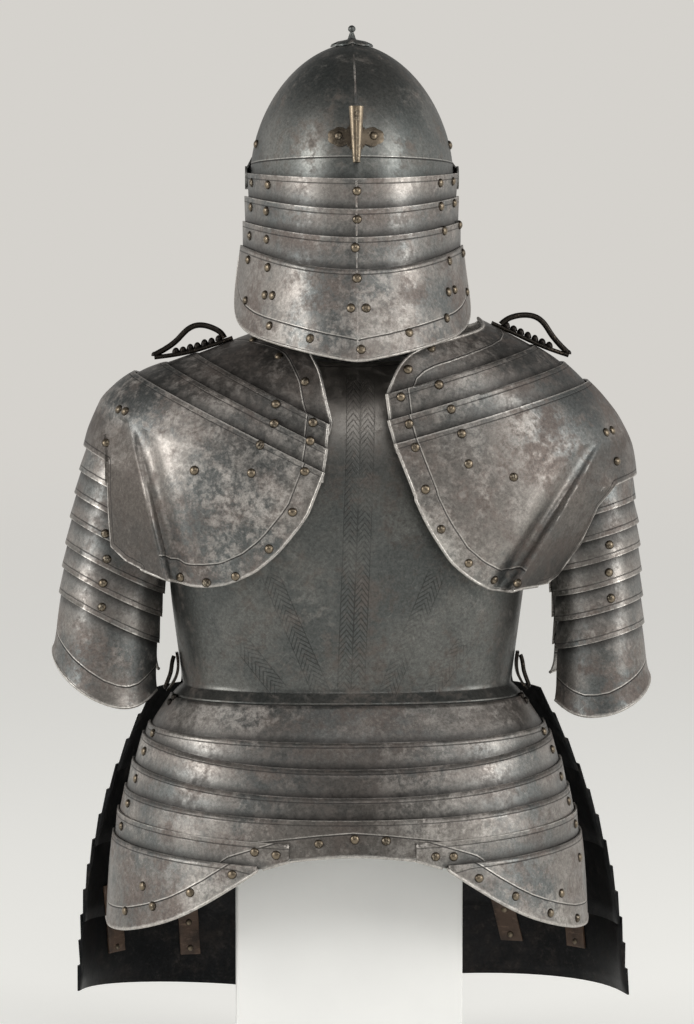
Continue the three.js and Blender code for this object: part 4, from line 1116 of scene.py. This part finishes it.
def leatherStrap(number, look):
    half = strapLook["thick"] / 2
    rows = []
    for k in range(strapLook["rows"] + 1):
        z = look["z"][0] + (look["z"][1] - look["z"][0]) * k / strapLook["rows"]
        x = look["x"][0] + (look["x"][1] - look["x"][0]) * k / strapLook["rows"]
        row = [tassetCast(look["tasset"], x + look["width"] * share, z) for share in strapLook["across"]]
        if all(row):
            rows.append([hit + normal * half for hit, normal in row])
    selectNothing()
    bpy.ops.mesh.primitive_grid_add(x_subdivisions=3, y_subdivisions=len(rows) - 1, size=1)
    strap = bpy.context.object
    strap.name = f"leatherStrap{number}"
    for v, p in zip(strap.data.vertices, [p for row in rows for p in row]):
        v.co = p
    shapeWith(strap, "SOLIDIFY", thickness=strapLook["thick"], offset=0)
    shapeWith(strap, "BEVEL", width=strapLook["edge"], segments=2)
    faceOutwards()
    smoothUpTo(40)
    settle(strap, "leather")
    studs = []
    for k in (*strapLook["rivets"], len(rows) - 2):
        if k < len(rows):
            at = (rows[k][1] + rows[k][2]) / 2
            along = rows[min(k + 1, len(rows) - 1)][1] - rows[k - 1][1]
            normal = (rows[k][3] - rows[k][0]).cross(along).normalized()
            if normal.y < 0:
                normal = -normal
            studs.append(studAt(at + normal * half, normal, strapLook["radius"], strapLook["height"]))
    return studs


studs = []
for number, look in enumerate(leathers):
    studs += leatherStrap(number + 1, look)
strapRivets = join(*studs)
strapRivets.name = "rivetsTassets"
settle(strapRivets, "brass")
print("leathers laid")

# The finial: a turned knob, radius over height in millimetres, on a lobed rosette that follows the skull
finialLook = {
    "knob": [
        (6.4, 0), (6.6, 1), (5, 2), (4, 4), (3, 7), (2.1, 9.4), (2, 10.4), (3.4, 11.2), (4, 13), (3.7, 15),
        (2.2, 16.6), (0.6, 17.2),
    ],
    "knobFoot": 1.111, "plateFoot": 1.1104, "skullTop": 1.1098,
    "lobes": 6, "radius": 0.0205, "swell": 0.0034, "thick": 0.0028,
}


def turnedKnob(look):
    outline = look["knob"]
    x, y, z = centre = (helmetMiddle, 0, look["knobFoot"])
    selectNothing()
    bpy.ops.mesh.primitive_circle_add(
        vertices=32, radius=outline[0][0] * mm, location=centre, fill_type="NGON")
    knob = bpy.context.object
    editAll()
    for (r0, z0), (r1, z1) in zip(outline, outline[1:]):
        bpy.ops.mesh.extrude_region_move(TRANSFORM_OT_translate={"value": (0, 0, (z1 - z0) * mm)})
        bpy.ops.transform.resize(value=(r1 / r0, r1 / r0, 1), center_override=(x, y, z + z1 * mm))
    leaveEdit()
    faceOutwards()
    smoothUpTo(35)
    return knob


def lobedRosette(look):
    radius, swell, thick = look["radius"], look["swell"], look["thick"]
    selectNothing()
    bpy.ops.mesh.primitive_circle_add(vertices=96, radius=radius, location=(0, 0, 0), fill_type="NGON")
    rosette = bpy.context.object
    for v in rosette.data.vertices:
        angle = math.atan2(v.co.y, v.co.x)
        r = radius + swell * abs(math.cos(look["lobes"] * angle / 2)) - swell * 0.5
        v.co = Vector((r * math.cos(angle), r * math.sin(angle), 0))
    editAll()
    bpy.ops.mesh.extrude_region_move(TRANSFORM_OT_translate={"value": (0, 0, thick * 0.6)})
    bpy.ops.mesh.inset(thickness=0.0012, depth=thick * 0.4)
    bpy.ops.mesh.inset(thickness=radius * 0.3, depth=thick * 0.35)
    leaveEdit()
    faceOutwards()
    smoothUpTo(30)
    rosette.location = (helmetMiddle, 0, look["plateFoot"])
    applyPlace(rosette)
    editAll()
    bpy.ops.mesh.quads_convert_to_tris()
    bpy.ops.mesh.subdivide(number_cuts=2)
    leaveEdit()
    for v in rosette.data.vertices:
        hit, _, _, _ = trees["helmet_skull"].ray_cast(Vector((v.co.x, v.co.y, 1.2)), Vector((0, 0, -1)))
        if hit:
            v.co.z += hit.z - look["skullTop"]
    return rosette


def finial():
    knob = turnedKnob(finialLook)
    piece = join(lobedRosette(finialLook), knob)
    piece.name = "finial"
    settle(piece, "darkSteel", "finial")
    paint(piece, "lip", 1.0)
    paint(piece, "border", 1.0)


finial()

# Plume holder: a tapered tube with a folded seam, on a scalloped plate with two rivets. The plate's lobes are
# given by centre and radius, in millimetres.
plume = {
    "foot": (-0.005, 0.1345, 0.986), "head": (-0.005, 0.1255, 1.0425), "wide": 0.0076, "narrow": 0.0038,
    "wall": 0.0009, "flat": 0.72, "seam": 0.0007, "seamAt": (0.05, 0.35, 0.65, 0.97),
    "lobes": [
        (0, 0, 11), (-15.5, 0, 9.6), (15.5, 0, 9.6), (-20, 0, 8), (20, 0, 8), (0, 4.5, 9), (0, -4.5, 9),
    ],
    "scallop": 1.1, "thick": 0.0014, "lift": 0.0004, "z": 1.012,
    "behind": 0.0052, "rivets": [(-0.0225, 1.0125), (0.0125, 1.0125)], "rivetLift": 0.0018,
}


# How far the plate reaches at this angle, in millimetres
def plumeReach(angle):
    reach = 0
    for x, y, r in plume["lobes"]:
        along = x * math.cos(angle) + y * math.sin(angle)
        inside = r * r - x * x - y * y + along * along
        if inside > 0:
            reach = max(reach, along + math.sqrt(inside))
    return reach + plume["scallop"] * abs(math.sin(10 * angle))


def plumePlate():
    selectNothing()
    bpy.ops.mesh.primitive_circle_add(vertices=120, radius=1, location=(0, 0, 0), fill_type="TRIFAN")
    piece = bpy.context.object
    for v in piece.data.vertices:
        if v.co.length > 0.5:  # all but the middle one
            angle = math.atan2(v.co.y, v.co.x)
            reach = plumeReach(angle)
            v.co = Vector((reach * math.cos(angle), reach * math.sin(angle), 0)) * mm
    editAll()
    bpy.ops.mesh.subdivide(number_cuts=3)
    bpy.ops.mesh.select_all(action="SELECT")
    bpy.ops.mesh.extrude_region_move(TRANSFORM_OT_translate={"value": (0, 0, plume["thick"])})
    leaveEdit()
    faceOutwards()
    shapeWith(piece, "BEVEL", width=0.0005, segments=2, limit_method="ANGLE")
    for v in piece.data.vertices:
        x, z = v.co.x + helmetMiddle, v.co.y + plume["z"]
        hit, _, _, _ = trees["helmet_skull"].ray_cast(Vector((x, 1, z)), Vector((0, -1, 0)))
        v.co = Vector((x, hit.y + v.co.z + plume["lift"], z))
    faceOutwards()
    smoothUpTo(35)
    # The whole plate carries a middle share of grime and painted shade.
    paint(piece, "grime", 0.5)
    return piece


def plumeTube():
    foot, head = Vector(plume["foot"]), Vector(plume["head"])
    along = head - foot
    selectNothing()
    bpy.ops.mesh.primitive_cone_add(
        vertices=32, radius1=plume["narrow"], radius2=plume["wide"], depth=along.length, location=(0, 0, 0),
        end_fill_type="NOTHING")
    tube = bpy.context.object
    editAll()
    bpy.ops.mesh.subdivide(number_cuts=1)
    leaveEdit()
    shapeWith(tube, "SOLIDIFY", thickness=plume["wall"])
    smoothUpTo(40)
    tube.scale = (1, plume["flat"], 1)
    tube.rotation_euler = along.to_track_quat("Z", "Y").to_euler()
    tube.location = (foot + head) / 2
    applyPlace(tube)
    return tube


# The seam runs up the rear of the tube, which widens towards its mouth.
def plumeSeam():
    foot, head = Vector(plume["foot"]), Vector(plume["head"])
    path = []
    for t in plume["seamAt"]:
        path.append(foot.lerp(head, t) + Vector((0, plume["behind"] * (0.55 + 0.45 * t), 0)))
    return sweep("plumeSeam", path, plume["seam"])


def plumeHolder():
    tube = plumeTube()
    base = plumePlate()
    seam = plumeSeam()
    studs = []
    for x, z in plume["rivets"]:
        hit, normal = castOn("helmet_skull", x, z)
        studs.append(studAt(hit + normal * plume["rivetLift"], normal, 0.0046, 0.0034))
    piece = join(base, tube, seam, *studs)
    piece.name = "plumeHolder"
    settle(piece, "brass", "plume_holder")


plumeHolder()

# Shoulder hasps: a bar between two rails, a bowed spring over it and a row of beads, x and z in millimetres
hasps = {
    "left": {
        "bow": [
            (128.2, 803.0), (131, 808.6), (137.8, 812.6), (147, 816.2), (157.6, 817.0), (166, 813),
            (172.2, 807.1), (182.8, 794.7), (201.1, 785.6),
        ],
        "bar": [
            (119.6, 803.7), (135.3, 798.1), (149.8, 793.1), (164.8, 788.8), (182.0, 785.6), (201.5, 783.4),
        ],
        "beads": [
            (134, 801.5), (141.7, 798.6), (149, 796), (156.5, 793.8), (164, 791.6), (171.5, 789.6), (179, 788),
        ],
    },
    "right": {
        "bow": [
            (-161.2, 816.9), (-166, 821.6), (-173.2, 825), (-184, 827), (-196.2, 826.0), (-204, 821),
            (-209.9, 813.9), (-217.6, 800), (-231.9, 786.8),
        ],
        "bar": [
            (-151.7, 819.0), (-168.5, 811.2), (-184.1, 804.1), (-199.1, 796.8), (-214.7, 790.5), (-232.2, 785),
        ],
        "beads": [
            (-167, 814.4), (-174.5, 811), (-182, 807.6), (-189.5, 804), (-197, 800.4), (-204.5, 797),
            (-212, 793.8),
        ],
    },
}
haspLook = {
    "bow": 0.0031, "rail": 0.0022, "railBelow": 0.6, "apart": 0.0042, "bar": 0.0021, "barBelow": 0.9, "wide": 2.7,
    "bead": (0.004, 0.0058), "knob": (0.0036, 0.0036),
}


def shoulderHasp(side):
    places, look = hasps[side], haspLook
    up = Vector((0, 0, 1))
    bow = [Vector((x * mm, 0.0003 * math.sin(k), z * mm)) for k, (x, z) in enumerate(places["bow"])]
    made = [sweep("bow", bow, look["bow"])]
    for y in (-look["apart"], look["apart"]):
        rail = [Vector((x * mm, y, (z - look["railBelow"]) * mm)) for x, z in places["bar"]]
        made.append(sweep("rail", rail, look["rail"]))
    middleLine = [Vector((x * mm, 0, (z - look["barBelow"]) * mm)) for x, z in places["bar"]]
    bar = sweep("bar", middleLine, look["bar"])
    bar.scale = (1, look["wide"], 1)
    applyPlace(bar)
    made.append(bar)
    for x, z in places["beads"]:
        made.append(studAt(Vector((x * mm, 0, z * mm)), up, *look["bead"]))
    x, z = places["bow"][-1]
    made.append(studAt(Vector((x * mm, 0, z * mm)), up, *look["knob"]))
    piece = join(*made)
    piece.name = nameOf(f"shoulder_hasp_{side}")
    settle(piece, "iron", f"shoulder_hasp_{side}")


# Waist hasps: a hook, in millimetres, a bead at its tip and a clasp of beads down the end of the culet's waist
# plate, from the first x and z to the last, in metres
waistLook = {
    "hook": [(182, 13, 470), (184.5, 15, 464), (184, 17, 455), (188, 16, 446), (191, 13, 438)], "wire": 0.0023,
    "tip": (0.1905, 0.013, 0.438), "clasp": ((0.168, 0.4455), (0.186, 0.4235)), "beads": 5,
}


def waistHasp(side):
    sign, look = shoulders[side]["sign"], waistLook
    piece, _ = plateFrom(f"waist_hasp_{side}", 2)
    rod = sweep("hook", [Vector((sign * x * mm, y * mm, z * mm)) for x, y, z in look["hook"]], look["wire"])
    x, y, z = look["tip"]
    beads = [studAt(Vector((sign * x, y, z)), Vector((sign, 0, 0)), 0.0034, 0.0032)]
    (x0, z0), (x1, z1) = look["clasp"]
    for share in np.linspace(0, 1, look["beads"]):
        hit, normal = castOn("culet_waist", sign * mix(x0, x1, share), mix(z0, z1, share))
        if hit:
            beads.append(studAt(hit, normal, 0.0042, 0.0046))
    piece = join(piece, rod, *beads)
    settle(piece, "iron", f"waist_hasp_{side}")


for side in sides:
    shoulderHasp(side)
for side in sides:
    waistHasp(side)
for side in sides:
    piece, _ = plateFrom(f"shoulder_strap_{side}", 1)
    settle(piece, "leather", f"shoulder_strap_{side}")

# Plinth and post, with softened edges
for block, soft in (("plinth", 0.0018), ("post", 0.0008)):
    piece = copyOf(block)
    bpy.ops.mesh.dissolve_limited(angle_limit=math.radians(1))
    leaveEdit()
    shapeWith(piece, "BEVEL", width=soft, segments=3, limit_method="ANGLE")
    smoothUpTo(35)
    settle(piece, "paint", block)
print("small parts made")

room = {
    "wall": (0.665, 0.645, 0.61, 1), "ground": (0.8, 0.8, 0.78, 1), "speck": (0.8, 0.8, 0.79, 1),
    "glow": (0.4, 0.4, 0.385, 1), "tone": (2, 1.94, 1.86, 1), "wide": 60, "fading": (1.5, 11),
    "sides": 1.08, "behind": 0.3, "front": 0.05, "ceiling": 0.12, "bounce": 0.3,
}


# A pale floor that fades into the wall
def layFloor():
    selectNothing()
    bpy.ops.mesh.primitive_plane_add(size=1, location=(0, 0, -0.0005))
    floor = bpy.context.object
    floor.name = "paleFloor"
    editAll()
    bpy.ops.transform.resize(value=(room["wide"], room["wide"], 1))
    leaveEdit()
    material, tree, shader = newFinish("paleGround")
    at = place(tree)
    grain = noise(tree, at, 3, 3, 0.5)
    far = node(tree, "ShaderNodeVectorMath", {"operation": "LENGTH"}, {0: at}, 1).step(*room["fading"])
    colour = blendColours(tree, grain * 0.1, room["ground"], room["speck"])
    connect(tree, shader, blendColours(tree, far, colour, (0, 0, 0, 1)), 0.9 + grain * 0.05)
    glow = blendColours(tree, far, room["glow"], room["wall"])
    tree.links.new(glow.socket, shader.inputs["Emission Color"])
    shader.inputs["Emission Strength"].default_value = 1.0
    shader.inputs["Specular IOR Level"].default_value = 0.0
    floor.data.materials.append(material)


# The light comes mostly from both sides and less from beyond the armour. The camera sees a plain wall.
def lightRoom():
    world = bpy.data.worlds.new("softRoom")
    world.use_nodes = True
    scene.world = world
    tree = world.node_tree
    x, y, z = node(tree, "ShaderNodeTexCoord").axes()
    aside = x.absolute().step(0.35, 0.85) * room["sides"]
    ahead = (0 - y).step(0.1, 0.8) * room["behind"]
    above = 1 - z.step(0.2, 0.65)
    light = (aside.greatest(ahead) + room["front"]) * above + room["ceiling"]
    light = light + (0 - z).step(0.05, 0.6) * room["bounce"]
    seen = node(tree, "ShaderNodeLightPath")
    tone = blendColours(tree, light * 0.5, (0, 0, 0, 1), room["tone"])
    back = tree.nodes["Background"]
    tree.links.new(blendColours(tree, seen, tone, room["wall"]).socket, back.inputs[0])
    back.inputs[1].default_value = 1.0


# Each softbox: its place, the point it faces, its width and height in metres, and its power in watts
softboxes = {
    "leftBox": {"at": (3.1, 1.5, 1.8), "aim": (0, 0, 0.65), "size": (1.1, 2.0), "power": 56},
    "rightBox": {"at": (-3.0, 1.7, 1.7), "aim": (0, 0, 0.6), "size": (1.1, 1.9), "power": 54},
    "topBox": {"at": (-0.5, 2.2, 2.4), "aim": (0, 0, 0.8), "size": (1.6, 0.8), "power": 15},
}


def softbox(name, look):
    bpy.ops.object.light_add(type="AREA", location=look["at"])
    lamp = bpy.context.object
    lamp.name = name
    lamp.data.shape = "RECTANGLE"
    lamp.data.size, lamp.data.size_y = look["size"]
    lamp.data.energy = look["power"]
    lamp.data.color = (1, 0.985, 0.96)
    lamp.rotation_euler = (Vector(look["aim"]) - Vector(look["at"])).to_track_quat("-Z", "Y").to_euler()


layFloor()
lightRoom()
for name, look in softboxes.items():
    softbox(name, look)
scene.view_settings.view_transform = "Standard"
print("room lit")
